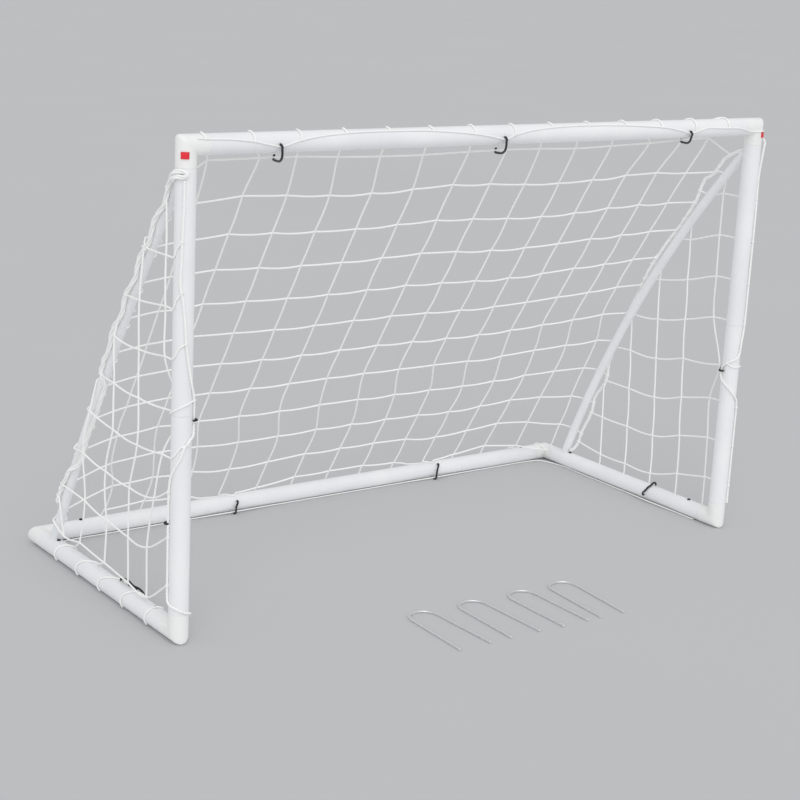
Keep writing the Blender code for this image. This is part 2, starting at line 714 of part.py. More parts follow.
# Ropes along the stays: (share of the way down, distance outward, distance above the stay's centre line).
ROPE_PATHS = {
    "left": ((0.030, 0.012, 0.020), (0.10, 0.012, 0.021), (0.15, 0.013, 0.024), (0.20, 0.011, 0.020),
             (0.26, 0.004, 0.0185), (0.34, 0.010, 0.019), (0.45, 0.011, 0.018), (0.60, 0.010, 0.019),
             (0.72, 0.013, 0.018), (0.84, 0.014, 0.019), (0.92, 0.015, 0.020), (0.965, 0.019, 0.020)),
    "right": ((0.020, -0.008, 0.022), (0.07, -0.012, 0.028), (0.13, -0.015, 0.033), (0.20, -0.008, 0.020),
              (0.27, -0.004, 0.0190), (0.33, -0.009, 0.021), (0.40, -0.010, 0.021), (0.50, 0.005, 0.0185),
              (0.62, 0.013, 0.0150), (0.70, 0.021, 0.003), (0.765, 0.0262, -0.018), (0.82, 0.0255, -0.005),
              (0.87, 0.0262, -0.0185), (0.93, 0.0255, -0.013), (0.965, 0.0262, -0.016)),
}


def rope_spot(side, t):
    out = -1 if side == "left" else 1
    path = ROPE_PATHS[side]
    point, heading, up = stay_lines[side](t)
    away = path_value([(p[0], p[1]) for p in path], t)
    over = path_value([(p[0], p[2]) for p in path], t)
    return point + X_AXIS * out * away + up * over


def rope_at(side, measure, target):
    """The share of a stay rope where a rising measure of its place reaches the target."""
    low, high = ROPE_PATHS[side][0][0], ROPE_PATHS[side][-1][0]
    for step in range(30):
        middle = (low + high) / 2
        if measure(rope_spot(side, middle)) < target:
            low = middle
        else:
            high = middle
    return (low + high) / 2


def end_near(target, origin, gap):
    """A cord's end just short of a rope."""
    back = (origin - target).normalized()
    return target + back * gap


ROPE_GAP = STAY_ROPE_RADIUS + 0.0022


def slope_drop(point):
    return (point - Vector((point.x, FRONT_Y, BAR_Z))).dot(DOWN)


# Back net.
def wrap_rings(net, column, angles, maker, radius=WRAP_RADIUS):
    return [net.ring(maker(column, a, radius), X_AXIS, maker(column, a, 1) - maker(column, a, 0)) for a in angles]


def steps_between(a, b, most):
    count = max(1, ceil(abs(b - a) / most))
    return [mix(a, b, k / count) for k in range(count + 1)]


back = Net()
columns = range(NET_COLUMNS)
for row in range(1, NET_ROWS + 1):
    for c in columns:
        spot = net_spot(c, row)
        along = net_spot(c + 0.5, row) - net_spot(c - 0.5, row)
        down = net_spot(c, min(NET_ROWS, row + 0.5 if row > 1 else 2)) - net_spot(c, row - 0.5 if row > 2 else row)
        if row == 1 or row == NET_ROWS:
            along = X_AXIS
        if row == NET_ROWS:
            down = net_spot(c, row) - net_spot(c, row - 1)
        back.knot((c, row), spot, along, down)
for row in range(1, NET_ROWS + 1):
    for c in columns:
        if c + 1 < NET_COLUMNS:
            between = []
            if row == NET_ROWS:
                for s in BACK_CLIPS:
                    mid = s * POST_SPACING
                    if column_x(c, row) < mid < column_x(c + 1, row):
                        for dx, angle in ((-0.020, 72), (-0.006, 110), (0.006, 110), (0.020, 72)):
                            between.append(back.ring(rear_spot(LEFT_X + mid + dx, angle, WRAP_RADIUS + 0.0004),
                                                     rear_spot(0, angle - 90, 1) - rear_spot(0, 0, 0),
                                                     rear_spot(0, angle, 1) - rear_spot(0, 0, 0)))
            back.join((c, row), ("u", 1), (c + 1, row), ("u", -1), between)
        if row < NET_ROWS:
            back.join((c, row), ("v", 1), (c, row + 1), ("v", -1))
for c in columns:
    first = back.knots[c, 1][2]
    centre = Vector((first.x, FRONT_Y, BAR_Z))
    arm = first - centre
    leave = degrees(atan2(arm.z, arm.y)) + degrees(acos(min(1.0, WRAP_RADIUS / arm.length)))
    top_x = LEFT_X + column_x(c, 0)
    stop = headline_angle(top_x - LEFT_X) - degrees((HEADLINE_RADIUS + 0.0008) / WRAP_RADIUS)
    angles = steps_between(leave, stop, 31)
    rings = []
    for angle in angles:
        x = mix(first.x, top_x, smooth((angle - leave) / max(1.0, 90 - leave)))
        rings += wrap_rings(back, x, [angle], bar_spot)
    back.tail((c, 1), ("v", -1), rings)
    last = back.knots[c, NET_ROWS][2]
    arm = last - Vector((last.x, BACK_Y, RAIL_Z))
    meet = degrees(atan2(arm.z, arm.y)) - degrees(acos(min(1.0, WRAP_RADIUS / arm.length)))
    rings = [r for a in steps_between(meet, -52, 31) for r in wrap_rings(back, last.x, [a], rear_spot)]
    back.tail((c, NET_ROWS), ("v", 1), rings)
for row in range(2, NET_ROWS + 1):
    for side, c, s in (("left", 0, -1), ("right", NET_COLUMNS - 1, 1)):
        spot, u, v, n = back.knots[c, row][2:]
        t = rope_at(side, slope_drop, slope_drop(spot))
        if ROPE_PATHS[side][0][0] + 0.01 < t < ROPE_PATHS[side][-1][0] - 0.01:
            target = rope_spot(side, t)
            point, heading, up = stay_lines[side](t)
            rings = []
            origin = spot + OUT * 0.004
            if (target - point).dot(up) < 0.012:
                origin = point + X_AXIS * s * 0.0125 + up * 0.0158
                rings.append(back.ring(origin, v, n + X_AXIS * s * 0.8))
            end = end_near(target, origin, ROPE_GAP)
            back.tail((c, row), ("u", s), rings + [back.ring(end, v, n)])
place("net_back", finish_mesh("net_back", back.close()), "net_cord")

# Post ropes: (height over the rail line, angle round the post), downward.
POST_ROPES = {
    "left": ((1.104, 128), (1.122, 112), (1.118, 70), (1.108, 34), (1.05, 34), (0.996, 38), (0.93, 42), (0.866, 45),
             (0.832, 32), (0.78, 21), (0.726, 13), (0.668, -5), (0.630, -22), (0.600, -44), (0.570, -62),
             (0.545, -72), (0.530, -72), (0.512, -62), (0.503, -48), (0.496, -18), (0.477, 15), (0.449, 35),
             (0.425, 63), (0.397, 90), (0.360, 108), (0.290, 114), (0.200, 113), (0.111, 112), (0.090, 106),
             (0.080, 84), (0.072, 40), (0.062, 0), (0.056, -30), (0.050, -62)),
    "right": ((1.132, 8), (1.128, 26), (1.108, 40), (1.080, 42), (1.043, 34), (0.960, 31), (0.888, 32), (0.800, 34),
              (0.713, 35), (0.635, 38), (0.588, 27), (0.560, 14), (0.520, 4), (0.506, -20), (0.498, -52),
              (0.486, -90), (0.472, -112), (0.458, -118), (0.442, -100), (0.428, -70), (0.413, -40), (0.395, -10),
              (0.375, 22), (0.330, 42), (0.254, 47), (0.190, 46), (0.134, 47), (0.075, 47), (0.055, 40)),
}


def post_rope(side):
    scale = CROSSBAR_RISE / 1.187
    radius = TUBE_RADIUS + BORDER_RADIUS + 0.0009
    points = []
    keys = POST_ROPES[side]
    for (z0, a0), (z1, a1) in zip(keys, keys[1:]):
        count = max(1, ceil(abs(a1 - a0) / 24))
        for k in range(count):
            points.append(post_spot(side, RAIL_Z + mix(z0, z1, k / count) * scale, mix(a0, a1, k / count), radius))
    z, a = keys[-1]
    points.append(post_spot(side, RAIL_Z + z * scale, a, radius))
    return points


def post_rope_angle(side, z):
    scale = CROSSBAR_RISE / 1.187
    keys = [(RAIL_Z + h * scale, a) for h, a in reversed(POST_ROPES[side][2:])]
    for (z0, a0), (z1, a1) in zip(keys, keys[1:]):
        if z <= z1:
            return mix(a0, a1, max(0.0, (z - z0) / (z1 - z0)))
    return keys[-1][1]


# Side nets: measures are from the post line and the rail line.
SIDE_SHAPES = {
    "left": (0.930, 0.1205, 0.035, 0.130, 0.090, 0.040),
    "right": (0.976, 0.1246, 0.086, 0.118, 0.0, 0.004),
}
POST_HOOKS = {"left": (3, 0.548, 205.0), "right": (4, 0.478, 212.0)}


def side_spot(side, j, i):
    top, drop, first, pitch, drift, rise = SIDE_SHAPES[side]
    out = -1 if side == "left" else 1
    x = LEFT_X if side == "left" else RIGHT_X
    z = top - drop * i
    y = first + pitch * j
    if side == "left":
        y += drift * smooth((0.5 - z) / 0.35)
        z -= 0.012 * sin(j * 1.3)
    else:
        y += 0.036 * smooth(z / 0.9)
        z -= 0.055 * smooth((y - 0.1) / 0.24)
    y *= BASE_DEPTH / 0.805
    z *= CROSSBAR_RISE / 1.187
    return Vector((x + out * WRAP_RADIUS, FRONT_Y + y, RAIL_Z + z))


def to_rope(net, side, t, spot, across):
    """Rings that carry a side cord up past the stay to its rope."""
    outward = X_AXIS * (-1 if side == "left" else 1)
    end = rope_spot(side, t)
    point, heading, up = stay_lines[side](t)
    if (end - point).dot(outward) > 0.018:
        aim = end_near(end, spot + outward * 0.002, ROPE_GAP + 0.0020)
        return [net.ring(aim, across, outward)]
    via = point + outward * 0.0195 + up * 0.012
    aim = end_near(end, via, ROPE_GAP)
    if (via - end).length < ROPE_GAP + 0.004:
        via = point + outward * 0.0205 + up * 0.002
        aim = end_near(end, end + outward * 0.010 - up * 0.004, ROPE_GAP)
    return [net.ring(via, across, outward), net.ring(aim, across, outward + up * 0.8)]


def side_net(side):
    out = -1 if side == "left" else 1
    x = LEFT_X if side == "left" else RIGHT_X
    hook_row, hook_z, hook_angle = POST_HOOKS[side]
    rise = SIDE_SHAPES[side][5]
    net = Net(-out)
    outward = X_AXIS * out
    chosen = {}
    for i in range(SIDE_ROWS):
        for j in range(SIDE_COLUMNS):
            spot = side_spot(side, j, i)
            t = rope_at(side, lambda p: p.y, spot.y)
            if rope_spot(side, t).z - spot.z < 0.040 or t > 0.95:
                continue
            if (j, i) == (0, hook_row):
                spot = post_spot(side, RAIL_Z + hook_z * CROSSBAR_RISE / 1.187, hook_angle, TUBE_RADIUS + 0.0085)
            chosen[j, i] = spot
            net.knot((j, i), spot, Y_AXIS, -Z_AXIS)
    for (j, i), spot in chosen.items():
        corner, used, place_of, u, v, n = net.knots[j, i]
        if (j + 1, i) in chosen:
            net.join((j, i), ("u", 1), (j + 1, i), ("u", -1))
        else:
            net.tail((j, i), ("u", 1), to_rope(net, side, rope_at(side, lambda p: -p.z, -spot.z), spot, v))
        if (j, i + 1) in chosen:
            net.join((j, i), ("v", 1), (j, i + 1), ("v", -1))
        if (j, i - 1) not in chosen:
            net.tail((j, i), ("v", -1), to_rope(net, side, rope_at(side, lambda p: p.y, spot.y), spot, u))
        if (j, i + 1) not in chosen:
            rings = []
            for angle in steps_between(0, -54, 28):
                around = rail_spot(side, spot.y, angle, WRAP_RADIUS)
                rings.append(net.ring(around, u, around - rail_spot(side, spot.y, angle, 0)))
            net.tail((j, i), ("v", 1), rings)
        if j == 0:
            start = 90
            if i == hook_row:
                start = hook_angle - degrees(acos(WRAP_RADIUS / (TUBE_RADIUS + 0.0085)))
            stop = post_rope_angle(side, spot.z + rise)
            if stop > 80:
                rope = post_spot(side, spot.z + rise, stop, TUBE_RADIUS + BORDER_RADIUS + 0.0009)
                aim = end_near(rope, spot + outward * 0.001, BORDER_RADIUS + 0.0030)
                net.tail((j, i), ("u", -1), [net.ring(aim, v, outward)])
                continue
            stop += degrees((BORDER_RADIUS + 0.0034) / WRAP_RADIUS)
            rings = []
            for angle in steps_between(start, max(-60, stop), 28):
                lift = rise * smooth((start - angle) / max(20.0, start - stop))
                around = post_spot(side, spot.z + lift, angle, WRAP_RADIUS)
                centre = post_spot(side, spot.z + lift, angle, 0)
                rings.append(net.ring(around, v, around - centre))
            net.tail((j, i), ("u", -1), rings)
    place("net_" + side, finish_mesh("net_" + side, net.close()), "net_cord")


side_net("left")
side_net("right")

# Ropes.
points = []
count = 44
for k in range(count + 1):
    x = mix(0.045, POST_SPACING - 0.060, k / count)
    points.append(bar_spot(LEFT_X + x, headline_angle(x), TUBE_RADIUS + HEADLINE_RADIUS + 0.0010))
wire("rope_headline", points, HEADLINE_RADIUS, "rope_white", 0)
wire("rope_post_left", post_rope("left"), BORDER_RADIUS, "rope_white", 0)
wire("rope_post_right", post_rope("right"), BORDER_RADIUS, "rope_white", 0)
for side in ("left", "right"):
    path = ROPE_PATHS[side]
    count = 34
    wire("rope_stay_" + side, [rope_spot(side, mix(path[0][0], path[-1][0], k / count)) for k in range(count + 1)],
         STAY_ROPE_RADIUS, "rope_white", 1)

GROUND_Z = BORDER_RADIUS
TUCK = 0.0185
PULLED = 0.031
HELD_LIFT = 0.0045
RAIL_CLIPS = {"left": 0.307, "right": 0.269}
CORNER_CUT = (0.100, 0.110)


def base_rope():
    """Along the ground inside the rails, drawn out at the clips and cutting the back corners."""
    def side_run(side):
        x = LEFT_X if side == "left" else RIGHT_X
        inward = 1 if side == "left" else -1
        spots = sorted([mix(0.075, BASE_DEPTH - CORNER_CUT[1], k / 7) for k in range(8)] + [RAIL_CLIPS[side]])
        run = []
        for y in spots:
            pull = clip_pull(y, [RAIL_CLIPS[side] / POST_SPACING], 0.08)
            run.append((x + inward * mix(TUCK, PULLED, pull), FRONT_Y + y, GROUND_Z + HELD_LIFT * pull))
        return run + [(x + inward * 0.045, BACK_Y - 0.031, GROUND_Z)]

    spots = [mix(CORNER_CUT[0], POST_SPACING - CORNER_CUT[0], k / 17) for k in range(18)]
    spots = sorted(spots + [share * POST_SPACING for share in BACK_CLIPS])
    rear_run = []
    for x in spots:
        pull = clip_pull(x, BACK_CLIPS, 0.09)
        rear_run.append((LEFT_X + x, BACK_Y - mix(TUCK, PULLED, pull), GROUND_Z + HELD_LIFT * pull))
    points = side_run("left") + rear_run + list(reversed(side_run("right")))
    return [Vector(p) for p in points]


wire("rope_base", base_rope(), BORDER_RADIUS, "rope_white", 0)


# Net clips.
def hook(centre, first, second, start, end, radius):
    count = max(2, ceil(abs(end - start) / 36))
    return [ring_spot(centre, first, second, radians(mix(start, end, k / count)), radius) for k in range(count + 1)]


def net_clip(name, spotter, place_a, angle_a, place_b, angle_b, hold_a, hold_b):
    """A double hook: a shank round the bar from one held cord to the other.

    hold_a and hold_b are (centre of the held cord, its radius), or None for a plain curled end.
    """
    shank = TUBE_RADIUS + CLIP_RADIUS + 0.0008
    turn = 1 if angle_b > angle_a else -1
    hooks = []
    for where, angle, held, sign in ((place_a, angle_a, hold_a, -turn), (place_b, angle_b, hold_b, turn)):
        heart = spotter(where, angle, 0)
        radial = (spotter(where, angle, 1) - heart).normalized()
        tangent = (spotter(where, angle + 90 * sign, 1) - heart).normalized()
        centre, cord = held if held else (spotter(where, angle, shank + 0.0036), 0.0013)
        round_cord = cord + CLIP_RADIUS + 0.0009
        under = (centre - heart).dot(radial) - round_cord - CLIP_RADIUS > TUBE_RADIUS + FIT_GAP
        sweep = (-80, 168) if under else (184, 10)
        hooks.append((hook(centre, tangent, radial, *sweep, round_cord), under))
    inner = []
    leave = 12 if not hooks[0][1] else 9
    arrive = 12 if not hooks[1][1] else 9
    for angle in steps_between(angle_a + turn * leave, angle_b - turn * arrive, 18):
        share = (angle - angle_a) / (angle_b - angle_a)
        inner.append(spotter(mix(place_a, place_b, share), angle, shank))
    wire(name, list(reversed(hooks[0][0])) + inner + hooks[1][0], CLIP_RADIUS, "clip_black", 0)


for k, share in enumerate(BAR_CLIPS):
    x = share * POST_SPACING
    c = min(columns, key=lambda q: abs(column_x(q, 1) + 0.030 - x))
    one = back.knots[c, 1][2]
    two = back.knots[min(c + 1, NET_COLUMNS - 1), 1][2]
    grip = one.lerp(two, 0.10)
    arm = grip - Vector((grip.x, FRONT_Y, BAR_Z))
    low = degrees(atan2(arm.z, arm.y)) % 360
    high = headline_angle(x)
    net_clip("net_clip_bar_%d" % (k + 1), bar_spot, LEFT_X + x, high, grip.x, low,
             (bar_spot(LEFT_X + x, high, TUBE_RADIUS + HEADLINE_RADIUS + 0.0010), HEADLINE_RADIUS),
             (grip, CORD * 0.72))


def held_base_rope(spotter, where, centre):
    """The lifted base rope at a clip, as a held cord, and its angle round the rail."""
    arm = hypot(PULLED, RAIL_Z - GROUND_Z - HELD_LIFT)
    angle = 180 + degrees(atan2(RAIL_Z - GROUND_Z - HELD_LIFT, PULLED))
    return angle, (spotter(where, angle, arm), BORDER_RADIUS)


for k, share in enumerate(BACK_CLIPS):
    x = LEFT_X + share * POST_SPACING
    angle, held = held_base_rope(rear_spot, x, BACK_Y)
    net_clip("net_clip_back_%d" % (k + 1), rear_spot, x, 110, x, angle,
             (rear_spot(x, 110, WRAP_RADIUS + 0.0004), CORD * 0.72), held)
for side in ("left", "right"):
    y = FRONT_Y + RAIL_CLIPS[side]

    def around(a, b, c, s=side):
        return rail_spot(s, a, b, c)

    angle, held = held_base_rope(around, y, 0)
    net_clip("net_clip_side_" + side, around, y, 112, y, angle, None, held)
POST_CLIPS = (("net_clip_post_left_high", "left", 0.538, -138), ("net_clip_post_left_low", "left", 0.270, 172),
              ("net_clip_post_right", "right", 0.458, -178))
for name, side, height, far in POST_CLIPS:
    z = RAIL_Z + height * CROSSBAR_RISE / 1.187

    def around(a, b, c, s=side):
        return post_spot(s, a, b, c)

    near = post_rope_angle(side, z)
    held = (around(z, near, TUBE_RADIUS + BORDER_RADIUS + 0.0009), BORDER_RADIUS)
    net_clip(name, around, z, near, z, far, held, None)


# Ground pegs.
def peg(name, share, back, spread, turn):
    """A hairpin of round wire that lies on the ground with its tips towards the front."""
    bend = PEG_WIDTH / 2
    shoulder = PEG_LENGTH - bend
    path = [(-bend - spread, 0, 0)]
    for k in range(9):
        angle = pi - pi * k / 8
        path.append((bend * cos(angle), shoulder + bend * sin(angle), 0))
    path.append((bend + spread, 0, 0))
    made = wire(name, path, PEG_WIRE, "peg_wire", 2)
    tip = (bend + spread + PEG_WIRE) * sin(radians(abs(turn)))
    made.location = (LEFT_X + share * POST_SPACING, FRONT_Y - PEG_TIP + back + tip, PEG_WIRE)
    made.rotation_euler.z = radians(turn)
    return made


for k, (share, back, spread, turn) in enumerate(PEGS):
    peg("peg_%d" % (k + 1), share, back, spread, turn)
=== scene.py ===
"""The garden goal as it looks: white push-fit tubes, bowed stays, a laced net, ropes, hooks and pegs.

Metres, +Z up, the goal mouth faces -Y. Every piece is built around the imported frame.
"""
import random
from math import atan2, ceil, cos, degrees, exp, pi, radians, sin, sqrt

import bmesh
import bpy
from mathutils import Matrix, Vector


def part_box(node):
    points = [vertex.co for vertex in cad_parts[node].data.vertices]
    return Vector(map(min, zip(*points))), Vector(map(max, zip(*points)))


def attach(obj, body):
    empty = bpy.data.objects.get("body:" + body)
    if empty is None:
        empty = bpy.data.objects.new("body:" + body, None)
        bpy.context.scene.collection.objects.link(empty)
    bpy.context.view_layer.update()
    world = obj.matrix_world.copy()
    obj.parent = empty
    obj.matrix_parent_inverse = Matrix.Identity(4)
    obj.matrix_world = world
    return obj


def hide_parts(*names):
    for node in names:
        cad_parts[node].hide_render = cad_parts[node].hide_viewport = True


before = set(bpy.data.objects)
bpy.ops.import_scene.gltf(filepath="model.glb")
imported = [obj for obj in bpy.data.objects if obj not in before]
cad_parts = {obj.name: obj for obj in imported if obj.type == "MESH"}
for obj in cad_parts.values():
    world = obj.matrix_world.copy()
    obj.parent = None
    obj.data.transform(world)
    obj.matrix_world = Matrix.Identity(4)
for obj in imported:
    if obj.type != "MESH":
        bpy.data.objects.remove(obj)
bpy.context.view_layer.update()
chance = random.Random(7)

X = Vector((1, 0, 0))
Y = Vector((0, 1, 0))
Z = Vector((0, 0, 1))

# Sizes of the tubes and their joints.
TUBE = 0.025
NECK = 0.0222
WALL = 0.0025
ELBOW_LEG = 0.052
SPIGOT = 0.142
CORNER_ROUND = 0.009
RIM = 0.0007
HOLD = 0.003
TUBE_SIDES = 72
SEAM = 0.0001
SHORTEST_NECK = 0.001
MITRE_RUN = 0.03
WELD = 0.00005

# Sizes of the stays.
STAY = 0.013
STAY_WALL = 0.0015
STAY_SIDES = 48
STAY_STOPS = 20
STAY_TOP_DROP = 0.077
STAY_FOOT_INSET = 0.105
STAY_SUNK = 0.022
STAY_BOWS = {"left": 0.026, "right": 0.057}
STAY_RIM = 0.0003
STAY_GAP = 0.00005
# The stretches of post and rail that trim the stays' ends, and how round they are.
POST_SEAT = (0.9, 1.3)
RAIL_SEAT = (0.3, 0.7)
SEAT_SIDES = 96

# Sizes of the net, ropes, hooks and pegs.
CORD = 0.0024
CORD_SIDES = 8
CORD_STEP = 0.009
CORD_LIE = 0.0001
THIN_ROPE = 0.0020
POST_ROPE = 0.0033
LEFT_STAY_ROPE = 0.0062
RIGHT_STAY_ROPE = 0.0050
HOOK = 0.0030
PEG = 0.0030
ROPE_SIDES = 10
STRAND_SIDES = 8
HOOK_SIDES = 10
PEG_SIDES = 16
PEG_TIP = 0.6
PEG_JOIN = 0.004


def middle(node):
    low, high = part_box(node)
    return (low + high) / 2


LEFT_X = middle("post_upper_left").x
RIGHT_X = middle("post_upper_right").x
FRONT_Y = middle("post_upper_left").y
BAR_Z = middle("crossbar_left").z
BACK_Y = middle("back_rail_left").y
RAIL_Z = middle("back_rail_left").z
POST_X = {"left": LEFT_X, "right": RIGHT_X}

# The frame's straight lines: two ends of each tube's middle line.
TUBE_LINES = [
    (Vector((LEFT_X, FRONT_Y, BAR_Z)), Vector((RIGHT_X, FRONT_Y, BAR_Z))),
    (Vector((LEFT_X, BACK_Y, RAIL_Z)), Vector((RIGHT_X, BACK_Y, RAIL_Z))),
]
for post_x in (LEFT_X, RIGHT_X):
    TUBE_LINES.append((Vector((post_x, FRONT_Y, RAIL_Z)), Vector((post_x, FRONT_Y, BAR_Z))))
    TUBE_LINES.append((Vector((post_x, FRONT_Y, RAIL_Z)), Vector((post_x, BACK_Y, RAIL_Z))))


# Camera, light and floor.
camera_data = bpy.data.cameras.new("camera")
camera = bpy.data.objects.new("camera", camera_data)
bpy.context.scene.collection.objects.link(camera)
camera.location = (-2.86366, -3.71962, 1.69393)
camera.rotation_euler = (radians(75.0921), radians(-2.7492), radians(-35.6162))
camera_data.lens = 78.633
camera_data.sensor_width = 36
camera_data.clip_end = 400
bpy.context.scene.camera = camera
bpy.context.scene.view_settings.view_transform = 'Standard'

SKY_LIGHT = 0.77
BACKDROP = (0.53, 0.535, 0.54)
FLOOR = (0.54, 0.545, 0.55)
FLOOR_GLOW = (0.70, 0.705, 0.71)

world = bpy.data.worlds.new("soft_sky")
world.use_nodes = True
bpy.context.scene.world = world
sky = world.node_tree
sky.nodes.clear()
sky_out = sky.nodes.new("ShaderNodeOutputWorld")
sky_mix = sky.nodes.new("ShaderNodeMixShader")
sky_soft = sky.nodes.new("ShaderNodeBackground")
sky_seen = sky.nodes.new("ShaderNodeBackground")
sky_rays = sky.nodes.new("ShaderNodeLightPath")
sky_plain = sky.nodes.new("ShaderNodeMath")
sky_plain.operation = 'MAXIMUM'
sky_clear = sky.nodes.new("ShaderNodeMath")
sky_clear.operation = 'MAXIMUM'
sky_soft.inputs["Color"].default_value = (0.97, 0.985, 1, 1)
sky_soft.inputs["Strength"].default_value = SKY_LIGHT
sky_seen.inputs["Color"].default_value = (*BACKDROP, 1)
sky_seen.inputs["Strength"].default_value = 1
sky.links.new(sky_rays.outputs["Is Camera Ray"], sky_plain.inputs[0])
sky.links.new(sky_rays.outputs["Is Glossy Ray"], sky_plain.inputs[1])
sky.links.new(sky_plain.outputs[0], sky_clear.inputs[0])
sky.links.new(sky_rays.outputs["Is Transmission Ray"], sky_clear.inputs[1])
sky.links.new(sky_clear.outputs[0], sky_mix.inputs["Fac"])
sky.links.new(sky_soft.outputs[0], sky_mix.inputs[1])
sky.links.new(sky_seen.outputs[0], sky_mix.inputs[2])
sky.links.new(sky_mix.outputs[0], sky_out.inputs[0])


def soft_light(name, strength, spread_angle, tilt, heading):
    data = bpy.data.lights.new(name, 'SUN')
    data.energy = strength
    data.angle = radians(spread_angle)
    light = bpy.data.objects.new(name, data)
    bpy.context.scene.collection.objects.link(light)
    light.rotation_euler = (radians(tilt), 0, radians(heading))


soft_light("cloudy_sun", 0.75, 50, 45, -20)
soft_light("front_fill", 0.50, 60, 84, -38)


def nodes_of(name):
    """A new material's node tree, its shader and a short way to add nodes."""
    made = bpy.data.materials.new(name)
    made.use_nodes = True
    tree = made.node_tree
    return made, tree, tree.nodes["Principled BSDF"]


def add(tree, kind, **values):
    node = tree.nodes.new(kind)
    for key, value in values.items():
        if key in node.inputs:
            node.inputs[key].default_value = value
        else:
            setattr(node, key, value)
    return node


def noise(tree, place, scale, detail=2.0):
    node = add(tree, "ShaderNodeTexNoise", Scale=scale, Detail=detail)
    tree.links.new(place, node.inputs["Vector"])
    return node.outputs["Fac"]


def tint(tree, share, dark, light):
    """A blend of two colours by a share between 0 and 1."""
    node = add(tree, "ShaderNodeMix", data_type='RGBA')
    node.inputs[6].default_value = (*dark, 1)
    node.inputs[7].default_value = (*light, 1)
    tree.links.new(share, node.inputs[0])
    return node.outputs[2]


def spread(tree, share, low, high, start=0.3, stop=0.7):
    node = add(tree, "ShaderNodeMapRange")
    node.inputs["From Min"].default_value = start
    node.inputs["From Max"].default_value = stop
    node.inputs["To Min"].default_value = low
    node.inputs["To Max"].default_value = high
    tree.links.new(share, node.inputs["Value"])
    return node.outputs["Result"]


def relief(tree, shader, height, depth, strength):
    node = add(tree, "ShaderNodeBump")
    node.inputs["Strength"].default_value = strength
    node.inputs["Distance"].default_value = depth
    tree.links.new(height, node.inputs["Height"])
    tree.links.new(node.outputs["Normal"], shader.inputs["Normal"])


def moulded(name, dark, light, gloss, grain):
    """Plastic: faint clouding, uneven gloss and a fine skin."""
    made, tree, shader = nodes_of(name)
    place = add(tree, "ShaderNodeTexCoord").outputs["Object"]
    cloud = spread(tree, noise(tree, place, 7, 3), 0, 1)
    tree.links.new(tint(tree, cloud, dark, light), shader.inputs["Base Color"])
    tree.links.new(spread(tree, noise(tree, place, 22, 4), *gloss), shader.inputs["Roughness"])
    relief(tree, shader, noise(tree, place, grain, 2), 0.0002, 0.25)
    return made


def twisted(name, dark, light, plies, pitch, rough):
    """Cord: strands that wind along it, with painted shade darkening the furrows between them, and a fuzzy
    skin.
    """
    made, tree, shader = nodes_of(name)
    spots = add(tree, "ShaderNodeTexCoord")
    parts = add(tree, "ShaderNodeSeparateXYZ")
    tree.links.new(spots.outputs["UV"], parts.inputs[0])
    along = add(tree, "ShaderNodeMath", operation='MULTIPLY')
    along.inputs[1].default_value = 2 * pi / pitch
    around = add(tree, "ShaderNodeMath", operation='MULTIPLY')
    around.inputs[1].default_value = 2 * pi * plies
    total = add(tree, "ShaderNodeMath", operation='ADD')
    wave = add(tree, "ShaderNodeMath", operation='SINE')
    tree.links.new(parts.outputs["X"], along.inputs[0])
    tree.links.new(parts.outputs["Y"], around.inputs[0])
    tree.links.new(along.outputs[0], total.inputs[0])
    tree.links.new(around.outputs[0], total.inputs[1])
    tree.links.new(total.outputs[0], wave.inputs[0])
    lift = spread(tree, wave.outputs[0], 0, 1, -1, 1)
    place = spots.outputs["Object"]
    fuzz = noise(tree, place, 900, 3)
    # The base colour is painted shade: dark in the furrows, light on the strands' crowns, with a slow random
    # tone over it.
    furrow_shade_and_tone = add(tree, "ShaderNodeMath", operation='MULTIPLY')
    tree.links.new(lift, furrow_shade_and_tone.inputs[0])
    tree.links.new(spread(tree, noise(tree, place, 18, 2), 0.75, 1.0), furrow_shade_and_tone.inputs[1])
    tree.links.new(tint(tree, furrow_shade_and_tone.outputs[0], dark, light), shader.inputs["Base Color"])
    both = add(tree, "ShaderNodeMath", operation='ADD')
    soft = add(tree, "ShaderNodeMath", operation='MULTIPLY')
    soft.inputs[1].default_value = 0.35
    tree.links.new(fuzz, soft.inputs[0])
    tree.links.new(lift, both.inputs[0])
    tree.links.new(soft.outputs[0], both.inputs[1])
    relief(tree, shader, both.outputs[0], 0.0003, 0.5)
    shader.inputs["Roughness"].default_value = rough
    shader.inputs["Sheen Weight"].default_value = 0.15
    return made


white_tube = moulded("white_tube", (0.80, 0.81, 0.825), (0.86, 0.865, 0.87), (0.27, 0.36), 260)
white_elbow = moulded("white_elbow", (0.83, 0.828, 0.815), (0.875, 0.872, 0.86), (0.30, 0.38), 420)
stay_white = moulded("stay_white", (0.82, 0.832, 0.84), (0.87, 0.88, 0.885), (0.30, 0.40), 260)
button_red = moulded("button_red", (0.70, 0.010, 0.020), (0.82, 0.016, 0.030), (0.32, 0.42), 500)
hook_black = moulded("hook_black", (0.010, 0.010, 0.012), (0.020, 0.020, 0.022), (0.38, 0.52), 600)
# For the cords, the first colour is painted shade in the furrows and the second is the strands' own white.
net_twine = twisted("net_twine", (0.89, 0.895, 0.875), (0.96, 0.96, 0.945), 3, 0.0075, 0.80)
white_rope = twisted("white_rope", (0.88, 0.885, 0.87), (0.95, 0.95, 0.94), 3, 0.0100, 0.80)


